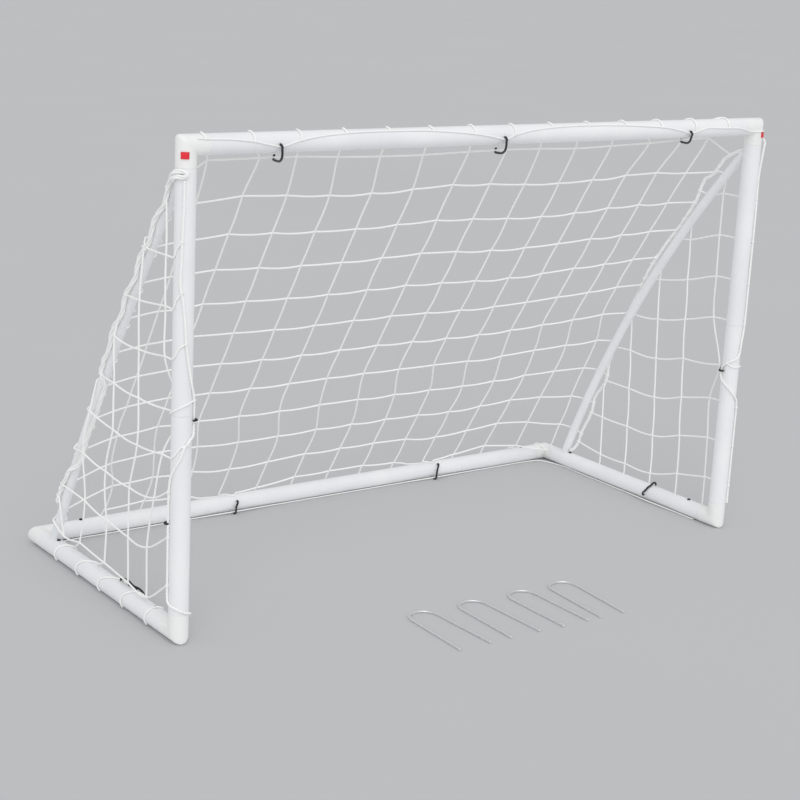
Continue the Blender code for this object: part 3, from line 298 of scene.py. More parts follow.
def galvanised(name):
    """Zinc-coated wire: dull crystals of two greys over metal."""
    made, tree, shader = nodes_of(name)
    place = add(tree, "ShaderNodeTexCoord").outputs["Object"]
    flakes = add(tree, "ShaderNodeTexVoronoi", Scale=260)
    tree.links.new(place, flakes.inputs["Vector"])
    share = spread(tree, flakes.outputs["Distance"], 0, 1, 0, 0.6)
    tree.links.new(tint(tree, share, (0.72, 0.73, 0.745), (0.86, 0.865, 0.87)), shader.inputs["Base Color"])
    tree.links.new(spread(tree, noise(tree, place, 120, 3), 0.30, 0.46), shader.inputs["Roughness"])
    relief(tree, shader, noise(tree, place, 500, 2), 0.0002, 0.3)
    shader.inputs["Metallic"].default_value = 0.85
    return made


peg_zinc = galvanised("peg_zinc")


def plain_floor(name):
    made, tree, shader = nodes_of(name)
    place = add(tree, "ShaderNodeTexCoord").outputs["Object"]
    soft = tuple(value * 0.985 for value in FLOOR)
    share = spread(tree, noise(tree, place, 0.6, 2), 0, 1)
    seen = tint(tree, share, soft, FLOOR)
    both = add(tree, "ShaderNodeMix", data_type='RGBA')
    both.inputs[6].default_value = (*FLOOR_GLOW, 1)
    tree.links.new(seen, both.inputs[7])
    tree.links.new(add(tree, "ShaderNodeLightPath").outputs["Is Camera Ray"], both.inputs[0])
    tree.links.new(both.outputs[2], shader.inputs["Base Color"])
    shader.inputs["Roughness"].default_value = 0.95
    shader.inputs["Specular IOR Level"].default_value = 0.1
    return made


FLOOR_DROP = 0.0006
bpy.ops.object.select_all(action='DESELECT')
bpy.ops.mesh.primitive_plane_add(size=160, location=(0, 0, -FLOOR_DROP))
floor = bpy.context.object
floor.name = "pale_floor"
floor.data.materials.append(plain_floor("pale_floor"))


# Making round shells, wires and cords.
def only(piece):
    bpy.ops.object.select_all(action='DESELECT')
    piece.select_set(True)
    bpy.context.view_layer.objects.active = piece


def settle_place(piece):
    only(piece)
    bpy.ops.object.transform_apply(location=True, rotation=True, scale=True)


def apply_all(piece):
    only(piece)
    for change in list(piece.modifiers):
        bpy.ops.object.modifier_apply(modifier=change.name)


def draw_out(name, axis, stops, sides):
    """A round open shell, drawn out from one circle through (place, radius) stops."""
    here, size = stops[0]
    bpy.ops.object.select_all(action='DESELECT')
    turn = Z.rotation_difference(axis).to_euler()
    bpy.ops.mesh.primitive_circle_add(vertices=sides, radius=size, location=here, rotation=turn)
    piece = bpy.context.object
    piece.name = name
    settle_place(piece)
    bpy.ops.object.mode_set(mode='EDIT')
    bpy.ops.mesh.select_all(action='SELECT')
    for place, radius in stops[1:]:
        bpy.ops.mesh.extrude_region_move(TRANSFORM_OT_translate={"value": place - here})
        if radius != size:
            grow = radius / size
            bpy.ops.transform.resize(value=(grow, grow, grow), center_override=place)
        here, size = place, radius
    bpy.ops.mesh.select_all(action='SELECT')
    bpy.ops.mesh.normals_make_consistent(inside=False)
    bpy.ops.object.mode_set(mode='OBJECT')
    face_out(piece, stops[0][0], axis)
    return piece


def face_out(piece, spot, axis):
    """Turns the shell's faces outwards where they point at its own line."""
    inward = 0
    for face in piece.data.polygons:
        arm = face.center - spot
        arm -= axis * arm.dot(axis)
        inward += face.area * (1 if arm.dot(face.normal) < 0 else -1)
    if inward > 0:
        only(piece)
        bpy.ops.object.mode_set(mode='EDIT')
        bpy.ops.mesh.select_all(action='SELECT')
        bpy.ops.mesh.flip_normals()
        bpy.ops.object.mode_set(mode='OBJECT')


def pick(piece, wanted):
    """Goes into edit mode with only the wanted points selected."""
    only(piece)
    bpy.ops.object.mode_set(mode='EDIT')
    bpy.ops.mesh.select_mode(type='VERT')
    bpy.ops.mesh.select_all(action='DESELECT')
    bpy.ops.object.mode_set(mode='OBJECT')
    for vert in piece.data.vertices:
        vert.select = wanted(vert)
    bpy.ops.object.mode_set(mode='EDIT')


def thicken(piece, wall, rim):
    """Gives an open shell its wall, inwards, and eases its rims."""
    change = piece.modifiers.new("wall", 'SOLIDIFY')
    change.thickness = wall
    change.offset = -1
    change.use_even_offset = True
    ease = piece.modifiers.new("rims", 'BEVEL')
    ease.width = rim
    ease.segments = 2
    ease.limit_method = 'ANGLE'
    ease.angle_limit = radians(50)
    apply_all(piece)


def cut_away(piece, tool, kind='DIFFERENCE'):
    change = piece.modifiers.new("cut", 'BOOLEAN')
    change.operation = kind
    change.solver = 'EXACT'
    change.object = tool
    apply_all(piece)


def finish(piece, material, body, nodes=()):
    """Smooths a finished piece, gives it its material and hangs it on its body."""
    only(piece)
    bpy.ops.object.shade_smooth_by_angle(angle=radians(38))
    piece.data.materials.clear()
    piece.data.materials.append(material)
    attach(piece, body)
    if nodes:
        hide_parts(*nodes)
    return piece


# Tubes between the corners: piece, CAD node, direction, start and end of what shows.
def low(node, axis):
    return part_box(node)[0].dot(axis)


def high(node, axis):
    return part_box(node)[1].dot(axis)


TUBES = [
    ("bar_half_left", "crossbar_left", X, high("top_elbow_left", X), low("crossbar_right", X)),
    ("bar_half_right", "crossbar_right", X, low("crossbar_right", X), low("top_elbow_right", X)),
    ("rear_half_left", "back_rail_left", X, low("back_rail_left", X), low("back_rail_right", X)),
    ("rear_half_right", "back_rail_right", X, low("back_rail_right", X), high("back_rail_right", X)),
]
for side in ("left", "right"):
    lower, upper = "post_lower_" + side, "post_upper_" + side
    rail = "side_rail_" + side
    TUBES += [
        ("low_post_" + side, lower, Z, high("foot_elbow_" + side, Z), low(upper, Z)),
        ("high_post_" + side, upper, Z, low(upper, Z), low("top_elbow_" + side, Z)),
        ("base_rail_" + side, rail, Y, low(rail, Y), high(rail, Y)),
    ]


def tube(name, node, axis, start, end):
    """A tube with its visible run at full width and any necks inside its neighbours."""
    heart = middle(node)
    heart -= axis * heart.dot(axis)
    first, last = low(node, axis), high(node, axis)
    start, end = start + SEAM, end - SEAM
    stops = []
    if first < start - SHORTEST_NECK:
        stops += [(heart + axis * first, NECK), (heart + axis * start, NECK)]
    stops += [(heart + axis * at, TUBE) for at in (start, start + HOLD, end - HOLD, end)]
    if last > end + SHORTEST_NECK:
        stops += [(heart + axis * end, NECK), (heart + axis * last, NECK)]
    piece = draw_out(name, axis, stops, TUBE_SIDES)
    thicken(piece, WALL, RIM)
    return piece


made = {}
for name, node, *shape in TUBES:
    made[name] = (tube(name, node, *shape), node)


# Corners.
# The bevel on a mitre finds its edges by how near they lie to the mitre, and to the tube's outside.
MITRE_LINE = 0.0002
OUTER_SKIN = 0.001
MITRE_STEPS = 6


def corner(name, spot, leg_a, leg_b, spigot_a, spigot_b):
    """A mitred corner from two drawn-out legs, each cut at the mitre, with a rounded outer edge."""
    halves = []
    for leg, other, spigot in ((leg_a, leg_b, spigot_a), (leg_b, leg_a, spigot_b)):
        stops = [(spot - leg * MITRE_RUN, TUBE), (spot + leg * (ELBOW_LEG - HOLD), TUBE),
                 (spot + leg * ELBOW_LEG, TUBE)]
        if spigot:
            stops += [(spot + leg * ELBOW_LEG, NECK), (spot + leg * SPIGOT, NECK)]
        half = draw_out(name, leg, stops, TUBE_SIDES)
        only(half)
        bpy.ops.object.mode_set(mode='EDIT')
        bpy.ops.mesh.select_all(action='SELECT')
        bpy.ops.mesh.bisect(plane_co=spot, plane_no=(leg - other).normalized(), clear_inner=True)
        bpy.ops.object.mode_set(mode='OBJECT')
        halves.append(half)
    bpy.ops.object.select_all(action='DESELECT')
    for half in halves:
        half.select_set(True)
    bpy.context.view_layer.objects.active = halves[0]
    bpy.ops.object.join()
    piece = halves[0]
    piece.name = name
    bpy.ops.object.mode_set(mode='EDIT')
    bpy.ops.mesh.select_all(action='SELECT')
    bpy.ops.mesh.remove_doubles(threshold=WELD)
    bpy.ops.object.mode_set(mode='OBJECT')
    wall = piece.modifiers.new("wall", 'SOLIDIFY')
    wall.thickness = WALL
    wall.offset = -1
    wall.use_even_offset = True
    apply_all(piece)
    outward = -(leg_a + leg_b).normalized()
    mitre = (leg_a - leg_b).normalized()
    weights = piece.data.attributes.new("bevel_weight_edge", 'FLOAT', 'EDGE')
    for edge in piece.data.edges:
        a, b = (piece.data.vertices[i].co - spot for i in edge.vertices)
        arm = a - outward * a.dot(outward) * (1 - 1 / sqrt(2))
        on_mitre = max(abs(a.dot(mitre)), abs(b.dot(mitre))) < MITRE_LINE
        if on_mitre and arm.length > TUBE - OUTER_SKIN:
            weights.data[edge.index].value = max(0.0, (a + b).dot(outward) / 2 / (TUBE * sqrt(2)))
    ease = piece.modifiers.new("mitre", 'BEVEL')
    ease.limit_method = 'WEIGHT'
    ease.width = CORNER_ROUND
    ease.segments = MITRE_STEPS
    rims = piece.modifiers.new("rims", 'BEVEL')
    rims.width = RIM
    rims.segments = 2
    rims.limit_method = 'ANGLE'
    rims.angle_limit = radians(60)
    apply_all(piece)
    return piece


CORNERS = []
for side, inward in (("left", X), ("right", -X)):
    x = POST_X[side]
    CORNERS += [
        ("top_corner_" + side, "top_elbow_" + side, Vector((x, FRONT_Y, BAR_Z)), inward, -Z, False, False),
        ("foot_corner_" + side, "foot_elbow_" + side, Vector((x, FRONT_Y, RAIL_Z)), Z, Y, False, True),
        ("rear_corner_" + side, "back_elbow_" + side, Vector((x, BACK_Y, RAIL_Z)), inward, -Y, True, True),
    ]
for name, node, *shape in CORNERS:
    made[name] = (corner(name, *shape), node)


# Stays.
def stay_place(side, t):
    """A place on a stay's bowed middle line, from the post at 0 to the rail at 1."""
    x = POST_X[side]
    top = Vector((x, FRONT_Y + TUBE, BAR_Z - STAY_TOP_DROP))
    foot = Vector((x, BACK_Y - STAY_FOOT_INSET, RAIL_Z + TUBE))
    chord = (foot - top).normalized()
    away = Vector((0, -chord.z, chord.y))
    return top.lerp(foot, t) + away * 4 * STAY_BOWS[side] * t * (1 - t), chord


def round_bar(name, start, end, radius, sides):
    bpy.ops.object.select_all(action='DESELECT')
    turn = Z.rotation_difference((end - start).normalized()).to_euler()
    bpy.ops.mesh.primitive_cylinder_add(vertices=sides, radius=radius, depth=(end - start).length,
                                        location=(start + end) / 2, rotation=turn)
    piece = bpy.context.object
    piece.name = name
    settle_place(piece)
    return piece


def drop(piece):
    bpy.data.objects.remove(piece)


def stay(side):
    length = (stay_place(side, 1)[0] - stay_place(side, 0)[0]).length
    sunk = STAY_SUNK / length
    stops = []
    for k in range(STAY_STOPS + 1):
        t = -sunk + (1 + 2 * sunk) * k / STAY_STOPS
        stops.append((stay_place(side, t)[0], STAY))
    piece = draw_out("bowed_stay_" + side, stay_place(side, 0)[1], stops, STAY_SIDES)
    thicken(piece, STAY_WALL, STAY_RIM)
    x = POST_X[side]
    on_post = [Vector((x, FRONT_Y, z)) for z in POST_SEAT]
    on_rail = [Vector((x, y, RAIL_Z)) for y in RAIL_SEAT]
    for start, end in (on_post, on_rail):
        tool = round_bar("stay_seat", start, end, TUBE + STAY_GAP, SEAT_SIDES)
        cut_away(piece, tool)
        drop(tool)
    return finish(piece, stay_white, "frame", ["stay_" + side])


for side in ("left", "right"):
    stay(side)


# Buttons.
BUTTON_DROP = 0.0215
BUTTON_TURN = 34
BUTTON_WIDTH = 0.019
BUTTON_HEIGHT = 0.0155
BUTTON_FRONT = TUBE + 0.0034
BUTTON_REAR = 0.0151
BUTTON_PLATE = 0.0020
BUTTON_SLACK = 0.0004
BUTTON_EASE = 0.0014
BUTTON_SIDES = 120
# The block that the button is cut with: spare depth behind its face, and height.
BLOCK_SPARE = 0.02
BLOCK_HEIGHT = 0.05
# The plate behind the window: how much wider and taller it is, and how far it sinks into the button.
PLATE_WIDER = 0.0030
PLATE_TALLER = 0.0036
PLATE_SUNK = 0.0002
# The window through the elbow and the post's neck: its middle, in from the tube's outside, and its depth.
WINDOW_IN = 0.001
WINDOW_DEEP = 0.020


def slab(name, spot, face, sizes):
    """A block with one side turned to face; sizes run across, along face and upwards."""
    bpy.ops.object.select_all(action='DESELECT')
    bpy.ops.mesh.primitive_cube_add(size=1, location=spot, rotation=X.rotation_difference(face).to_euler())
    piece = bpy.context.object
    piece.name = name
    piece.scale = (sizes[1], sizes[0], sizes[2])
    settle_place(piece)
    return piece


def button(side, outward):
    turn = radians(BUTTON_TURN)
    face = Vector((outward * sin(turn), -cos(turn), 0))
    heart = Vector((POST_X[side], FRONT_Y, BAR_Z - BUTTON_DROP))
    half = Z * BUTTON_HEIGHT / 2
    piece = round_bar("red_button_" + side, heart - half, heart + half, BUTTON_FRONT, BUTTON_SIDES)
    deep = BUTTON_FRONT - BUTTON_REAR + BLOCK_SPARE
    keep = slab("button_block", heart + face * (BUTTON_REAR + deep / 2), face,
                (BUTTON_WIDTH, deep, BLOCK_HEIGHT))
    cut_away(piece, keep, 'INTERSECT')
    drop(keep)
    ease = piece.modifiers.new("ease", 'BEVEL')
    ease.width = BUTTON_EASE
    ease.segments = 4
    ease.limit_method = 'ANGLE'
    ease.angle_limit = radians(40)
    apply_all(piece)
    plate = slab("button_plate", heart + face * (BUTTON_REAR - BUTTON_PLATE / 2 + PLATE_SUNK), face,
                 (BUTTON_WIDTH + PLATE_WIDER, BUTTON_PLATE, BUTTON_HEIGHT + PLATE_TALLER))
    cut_away(piece, plate, 'UNION')
    drop(plate)
    window = slab("button_window", heart + face * (TUBE - WINDOW_IN), face,
                  (BUTTON_WIDTH + 2 * BUTTON_SLACK, WINDOW_DEEP, BUTTON_HEIGHT + 2 * BUTTON_SLACK))
    cut_away(made["top_corner_" + side][0], window)
    cut_away(made["high_post_" + side][0], window)
    drop(window)
    finish(piece, button_red, "release_" + side, ["button_" + side])


button("left", -1)
button("right", 1)

# Snap pins.
PIN = 0.0052
PIN_RISE = 0.0008
PIN_PLATE = 0.0062
PIN_PLATE_THICK = 0.0014
PIN_PLATE_UP = 0.0174
PIN_SLACK = 0.0005
PIN_SIDES = 32
# The dome's height as a share of the pin's radius, and the angles of its rings.
PIN_DOME = 0.5
DOME_ANGLES = (65, 42, 22, 4)
# The heights over the rail's middle line between which the pin's hole is cut.
PIN_HOLE = (0.012, 0.03)
# The leaf: its lower end's height over the rail's middle line, half width, thickness and set-down from the
# plate's top, then its places along the rail and the height of its rounding at the tip.
LEAF_LOW = -0.0088
LEAF_HALF = 0.004
LEAF_THICK = 0.0009
LEAF_UNDER = 0.0010
LEAF_START = -0.004
LEAF_KNEE = 0.005
LEAF_TURN = 0.033
LEAF_TIP = 0.0342
LEAF_END = 0.003
LEAF_ROUND = 0.0010
# Each pin's rail, corner and heading along the rail.
PINS = {
    "left_front": ("base_rail_left", "foot_corner_left", Y),
    "left_back": ("base_rail_left", "rear_corner_left", -Y),
    "right_front": ("base_rail_right", "foot_corner_right", Y),
    "right_back": ("base_rail_right", "rear_corner_right", -Y),
    "rear_left": ("rear_half_left", "rear_corner_left", X),
    "rear_right": ("rear_half_right", "rear_corner_right", -X),
}


def snap_pin(place, rail, elbow, inward):
    """A domed pin on a folded leaf that springs inside the spigot."""
    node = "snap_pin_" + place
    bottom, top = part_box(node)
    spot = middle(node)
    if abs(inward.x) > 0.5:
        spot.x = bottom.x + PIN_PLATE if inward.x > 0 else top.x - PIN_PLATE
    else:
        spot.y = bottom.y + PIN_PLATE if inward.y > 0 else top.y - PIN_PLATE
    plate = RAIL_Z + PIN_PLATE_UP
    shoulder = top.z + PIN_RISE - PIN * PIN_DOME
    levels = [(plate - PIN_PLATE_THICK, PIN_PLATE), (plate, PIN_PLATE), (plate, PIN), (shoulder, PIN)]
    for angle in DOME_ANGLES:
        levels.append((shoulder + PIN * PIN_DOME * cos(radians(angle)), PIN * sin(radians(angle))))
    stops = [(Vector((spot.x, spot.y, level)), radius) for level, radius in levels]
    piece = draw_out("pin_" + place, Z, stops, PIN_SIDES)
    only(piece)
    bpy.ops.object.mode_set(mode='EDIT')
    bpy.ops.mesh.select_all(action='DESELECT')
    bpy.ops.mesh.select_non_manifold()
    bpy.ops.mesh.fill_holes(sides=0)
    bpy.ops.mesh.select_all(action='SELECT')
    bpy.ops.mesh.normals_make_consistent(inside=False)
    bpy.ops.object.mode_set(mode='OBJECT')
    hole_low, hole_high = (Vector((spot.x, spot.y, RAIL_Z + rise)) for rise in PIN_HOLE)
    hole = round_bar("pin_hole", hole_low, hole_high, PIN + PIN_SLACK, PIN_SIDES)
    for name in (rail, elbow):
        cut_away(made[name][0], hole)
    drop(hole)
    leaf = leaf_spring(place, spot, inward, plate - LEAF_UNDER)
    only(piece)
    leaf.select_set(True)
    bpy.ops.object.join()
    finish(piece, hook_black, "pin_" + place, [node])


def leaf_spring(place, spot, inward, height):
    """A folded strip: out along the rail under the pin, round its tip and back."""
    bend = (height + RAIL_Z + LEAF_LOW) / 2
    path = [(LEAF_START, height), (LEAF_KNEE, height), (LEAF_TURN, bend + LEAF_ROUND), (LEAF_TIP, bend),
            (LEAF_TURN, bend - LEAF_ROUND), (LEAF_END, bend - (height - RAIL_Z - LEAF_LOW) / 2)]
    places = [Vector((spot.x, spot.y, level)) + inward * along for along, level in path]
    bpy.ops.object.select_all(action='DESELECT')
    bpy.ops.mesh.primitive_plane_add(size=1, location=(places[0] + places[1]) / 2,
                                     rotation=(0, 0, atan2(inward.y, inward.x)))
    leaf = bpy.context.object
    leaf.name = "leaf_" + place
    leaf.scale = (LEAF_KNEE - LEAF_START, 2 * LEAF_HALF, 1)
    settle_place(leaf)
    pick(leaf, lambda vert: (vert.co - places[1]).dot(inward) > LEAF_START / 2)
    for here, there in zip(places[1:], places[2:]):
        bpy.ops.mesh.extrude_region_move(TRANSFORM_OT_translate={"value": there - here})
    bpy.ops.object.mode_set(mode='OBJECT')
    thick = leaf.modifiers.new("thick", 'SOLIDIFY')
    thick.thickness = LEAF_THICK
    thick.offset = 0
    apply_all(leaf)
    bpy.ops.object.mode_set(mode='EDIT')
    bpy.ops.mesh.select_all(action='SELECT')
    bpy.ops.mesh.normals_make_consistent(inside=False)
    bpy.ops.object.mode_set(mode='OBJECT')
    return leaf


for place, (rail, elbow, inward) in PINS.items():
    snap_pin(place, rail, elbow, inward)
for name, (piece, node) in made.items():
    finish(piece, white_elbow if "corner" in name else white_tube, "frame", [node])


# Middle lines of the CAD's cords, ropes and wires.
SAME_POINT = 0.00002
# Two cords run on through a knot where the cosine between their headings is below this.
STRAIGHT_ON = -0.2
# A place up to the first measure off a tube is laid on it, and one up to the second is drawn in.
LIE_SNUG = 0.0022
LIE_NEAR = 0.0070


def skeleton(node, join):
    """Middle places of a cord's rings and knots, how many points each has, and which its long edges join."""
    form = bmesh.new()
    form.from_mesh(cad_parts[node].data)
    bmesh.ops.remove_doubles(form, verts=form.verts, dist=SAME_POINT)
    form.verts.index_update()
    lead = list(range(len(form.verts)))

    def top(i):
        while lead[i] != i:
            lead[i] = lead[lead[i]]
            i = lead[i]
        return i

    for edge in form.edges:
        if edge.calc_length() < join:
            lead[top(edge.verts[0].index)] = top(edge.verts[1].index)
    groups = {}
    for vert in form.verts:
        groups.setdefault(top(vert.index), []).append(vert.co.copy())
    spots = {key: sum(group, Vector()) / len(group) for key, group in groups.items()}
    sizes = {key: len(group) for key, group in groups.items()}
    links = {key: set() for key in groups}
    for edge in form.edges:
        a, b = top(edge.verts[0].index), top(edge.verts[1].index)
        if a != b:
            links[a].add(b)
            links[b].add(a)
    form.free()
    return spots, sizes, links


def strands(spots, links):
    """Follows each cord straight on through its knots, and gives the keys along each."""
    partner = {}
    for here, near in links.items():
        heading = {n: (spots[n] - spots[here]).normalized() for n in near}
        left = sorted(near)
        while len(left) > 1:
            pairs = [(heading[a].dot(heading[b]), a, b) for i, a in enumerate(left) for b in left[i + 1:]]
            turn, a, b = min(pairs)
            if turn > STRAIGHT_ON:
                break
            partner[here, a] = b
            partner[here, b] = a
            left.remove(a)
            left.remove(b)
    found = []
    used = set()
    for here in sorted(links):
        for near in sorted(links[here]):
            if (here, near) in partner or (here, near) in used:
                continue
            line = [here, near]
            while (line[-1], line[-2]) in partner:
                line.append(partner[line[-1], line[-2]])
            used.add((line[-1], line[-2]))
            used.add((here, near))
            found.append(line)
    return found


def flow(points, step, sags=None):
    """A smooth line through the points, cut every step; a stretch may hang by its own sag."""
    ends = [points[0] * 2 - points[1]] + list(points) + [points[-1] * 2 - points[-2]]
    out = []
    for i in range(1, len(ends) - 2):
        a, b, c, d = ends[i - 1:i + 3]
        span = (c - b).length
        before = min(1.0, span / max(1e-6, (b - a).length))
        after = min(1.0, span / max(1e-6, (d - c).length))
        slope_b = (c - b) * 0.5 + (b - a) * 0.5 * before
        slope_c = (c - b) * 0.5 + (d - c) * 0.5 * after
        count = max(1, ceil(span / step))
        sag = sags[i - 1] if sags else None
        for k in range(count):
            t = k / count
            spot = (b * (2 * t ** 3 - 3 * t * t + 1) + slope_b * (t ** 3 - 2 * t * t + t)
                    + c * (3 * t * t - 2 * t ** 3) + slope_c * (t ** 3 - t * t))
            if sag is not None:
                spot += sag * 4 * t * (1 - t)
            out.append(spot)
    out.append(points[-1].copy())
    return out


def onto_tubes(spot, radius):
    """Brings a place that lies loosely on a tube down on to its round wall."""
    for start, end in TUBE_LINES:
        line = end - start
        t = min(1.0, max(0.0, (spot - start).dot(line) / line.length_squared))
        foot = start + line * t
        arm = spot - foot
        seat = TUBE + radius + CORD_LIE
        loose = arm.length - seat
        if loose < LIE_SNUG:
            spot = foot + arm.normalized() * seat
        elif loose < LIE_NEAR:
            spot = foot + arm.normalized() * (seat + loose * (loose - LIE_SNUG) / (LIE_NEAR - LIE_SNUG))
    return spot


CAP_POINT = 0.000001
TIP_ANGLES = (28, 52, 72, 86)


def bend_cord(name, places, radius, sides, widths=None):
    """A round cord along the places, turned into a mesh whose map runs in metres along it."""
    data = bpy.data.curves.new(name, 'CURVE')
    data.dimensions = '3D'
    data.bevel_depth = radius
    data.bevel_resolution = sides // 2 - 2
    data.use_fill_caps = True
    line = data.splines.new('POLY')
    line.points.add(len(places) - 1)
    total = 0.0
    for i, spot in enumerate(places):
        line.points[i].co = (*spot, 1)
        line.points[i].radius = widths[i] if widths else 1
        if i:
            total += (spot - places[i - 1]).length
    piece = bpy.data.objects.new(name, data)
    bpy.context.scene.collection.objects.link(piece)
    only(piece)
    bpy.ops.object.convert(target='MESH')
    piece = bpy.context.object
    bpy.ops.object.mode_set(mode='EDIT')
    bpy.ops.mesh.select_all(action='SELECT')
    bpy.ops.mesh.remove_doubles(threshold=CAP_POINT)
    bpy.ops.object.mode_set(mode='OBJECT')
    layer = piece.data.uv_layers.active
    if layer:
        for corner_map in layer.data:
            corner_map.uv.x *= total
    return piece


def rounded(places, radius):
    """Adds a rounded tip to both ends of a wire: places and the width at each."""
    widths = [1.0] * len(places)
    for end in (0, -1):
        tip = places[end]
        out = (tip - places[1 if end == 0 else -2]).normalized()
        for angle in TIP_ANGLES:
            spot = tip + out * radius * sin(radians(angle))
            width = cos(radians(angle))
            if end == 0:
                places = [spot] + places
                widths = [width] + widths
            else:
                places = places + [spot]
                widths = widths + [width]
    return places, widths


def gather(name, parts):
    """Joins copies and cords into one piece."""
    bpy.ops.object.select_all(action='DESELECT')
    for part in parts:
        part.select_set(True)
    bpy.context.view_layer.objects.active = parts[0]
    bpy.ops.object.join()
    parts[0].name = name
    return parts[0]


def copy_of(pattern, matrix):
    data = pattern.data.copy()
    data.transform(matrix)
    piece = bpy.data.objects.new(pattern.name, data)
    bpy.context.scene.collection.objects.link(piece)
    return piece


def stand(spot, along, up):
    """A placing that points X along and Z up."""
    along = along.normalized()
    side = up.cross(along).normalized()
    up = along.cross(side)
    return Matrix.Translation(spot) @ Matrix((along, side, up)).transposed().to_4x4()


# A knot's half sizes, and how much its lumps and its furrows grow.
KNOT = (0.0036, 0.0031, 0.0025)
KNOT_LUMP = 1.14
KNOT_FURROW = 0.88
# A turn of twine round a rope: how far out its middle lies, and its own radius.
TURN_OUT = 0.0008
TURN_TWINE = 0.0013


def small_knot():
    """A tight twine knot: a lump with a furrow where the two cords cross."""
    bpy.ops.object.select_all(action='DESELECT')
    bpy.ops.mesh.primitive_uv_sphere_add(segments=8, ring_count=6, radius=1)
    knot = bpy.context.object
    knot.name = "small_knot"
    bpy.ops.object.mode_set(mode='EDIT')
    bpy.ops.mesh.select_all(action='SELECT')
    bpy.ops.transform.resize(value=KNOT, center_override=(0, 0, 0))
    bpy.ops.object.mode_set(mode='OBJECT')
    lumps = [vert.co.x * vert.co.y > 0 for vert in knot.data.vertices]
    for lump, grow in ((True, KNOT_LUMP), (False, KNOT_FURROW)):
        pick(knot, lambda vert: lumps[vert.index] == lump)
        bpy.ops.transform.resize(value=(grow, grow, grow), center_override=(0, 0, 0))
        bpy.ops.object.mode_set(mode='OBJECT')
    return knot


def rope_turn(radius):
    """One turn of twine round a rope that runs along X."""
    bpy.ops.object.select_all(action='DESELECT')
    bpy.ops.mesh.primitive_torus_add(major_segments=12, minor_segments=6, major_radius=radius + TURN_OUT,
                                     minor_radius=TURN_TWINE, rotation=(0, pi / 2, 0))
    turn = bpy.context.object
    turn.name = "rope_turn"
    settle_place(turn)
    return turn


# Ropes.
ROPE_STEP = 0.006
FINE_STEP = 0.0035
HEADLINE_STEP = 0.004


def chain(node, join):
    """The middle places along a rope or wire of the CAD's, in order."""
    spots, _, links = skeleton(node, join)
    longest = max(strands(spots, links), key=len)
    return [spots[key] for key in longest]


# Each rope's radius as it is drawn here, and the longest edge inside one ring of the CAD's rope.
ROPES = {
    "rope_headline": (THIN_ROPE, 0.0045),
    "rope_post_left": (POST_ROPE, 0.0045),
    "rope_post_right": (POST_ROPE, 0.0045),
    "rope_base": (THIN_ROPE, 0.0045),
    "rope_stay_left": (LEFT_STAY_ROPE, 0.010),
    "rope_stay_right": (RIGHT_STAY_ROPE, 0.010),
}
rope_lines = {node: flow(chain(node, join), ROPE_STEP) for node, (_, join) in ROPES.items()}

# The bar's hooks: where each holds the headline and where it holds the net.
BAR_HOOKS = ((-0.689, -0.668), (-0.016, 0.002), (0.645, 0.672))
HOOK_LIFT = 0.0022
HOOK_REACH = 0.010
# The cords' routes below follow the photo. The headline's gives its places along the bar, and how far up
# from the bar's front it lies there, in degrees.
HEADLINE = (
    (-0.905, 37), (-0.880, 33), (-0.825, 28), (-0.789, 20.5), (-0.758, 13), (-0.730, 0), (-0.703, -11),
    (-0.689, -15), (-0.676, -12), (-0.633, 12), (-0.580, 29), (-0.514, 41), (-0.455, 47), (-0.371, 49),
    (-0.258, 44), (-0.206, 35), (-0.135, 21.5), (-0.084, 8), (-0.034, -11), (-0.016, -16), (-0.001, -10),
    (0.020, 6), (0.072, 25.5), (0.155, 40.5), (0.260, 47), (0.404, 39.5), (0.491, 28), (0.554, 17),
    (0.597, 1.5), (0.632, -14), (0.645, -20), (0.659, -16), (0.680, -5.5), (0.704, 6), (0.728, 8),
    (0.766, 4.5), (0.805, 3), (0.832, 1), (0.850, -4), (0.872, -16), (0.893, -25),
)
# Its end over the right corner to the button, in degrees round the post from the front.
HEADLINE_END = (-24, -4, 16, 34, 46)
HEADLINE_END_DROP = 0.0112
# The right post's rope hangs off the post under the button.
RIGHT_ROPE_TOP = ((0.9475, -0.2375, 1.179), (0.9530, -0.2405, 1.167), (0.9523, -0.2399, 1.152),
                  (0.9496, -0.2382, 1.118), (0.9475, -0.2365, 1.086), (0.9465, -0.2360, 1.043))
# The bundle of net and rope on the left stay: its lean to the side, and its turn round the post.
LEFT_LEANS = ((0.0, 98), (0.30, 96), (0.44, 92), (0.50, 104), (0.545, 168), (0.60, 176), (0.64, 166),
              (0.76, 164), (0.80, 100), (0.85, 64), (0.895, 56), (0.928, -70))
LEFT_ROPE_TOP = 0.016
LEFT_ROPE_FOOT = 0.928
LEFT_ROPE_STEPS = 87
LEFT_ROPE_OFF = 0.0004
# The net gathers the bundle up at even steps, fully down to a place on the stay and slightly below it.
FULL_TO = 0.48
SLIGHT = 0.3
GATHER_LEAN = 24
GATHER_LIFT = 0.0020
LEFT_FIRST_GATHER = 0.108
LEFT_GATHER_STEP = 0.0965
LEFT_TURN = ((-112, 1.1420), (-88, 1.1500), (-62, 1.1545), (-38, 1.1550), (-25, 1.1505), (-25, 1.1455),
             (-38, 1.1425), (-62, 1.1425), (-88, 1.1385), (-108, 1.1320))
# Where the CAD's post ropes are cut off at the top, and how many places the hanging loop takes over.
POST_ROPE_TOPS = {"rope_post_left": 1.134, "rope_post_right": 1.0}
TAKEN_OVER = 6
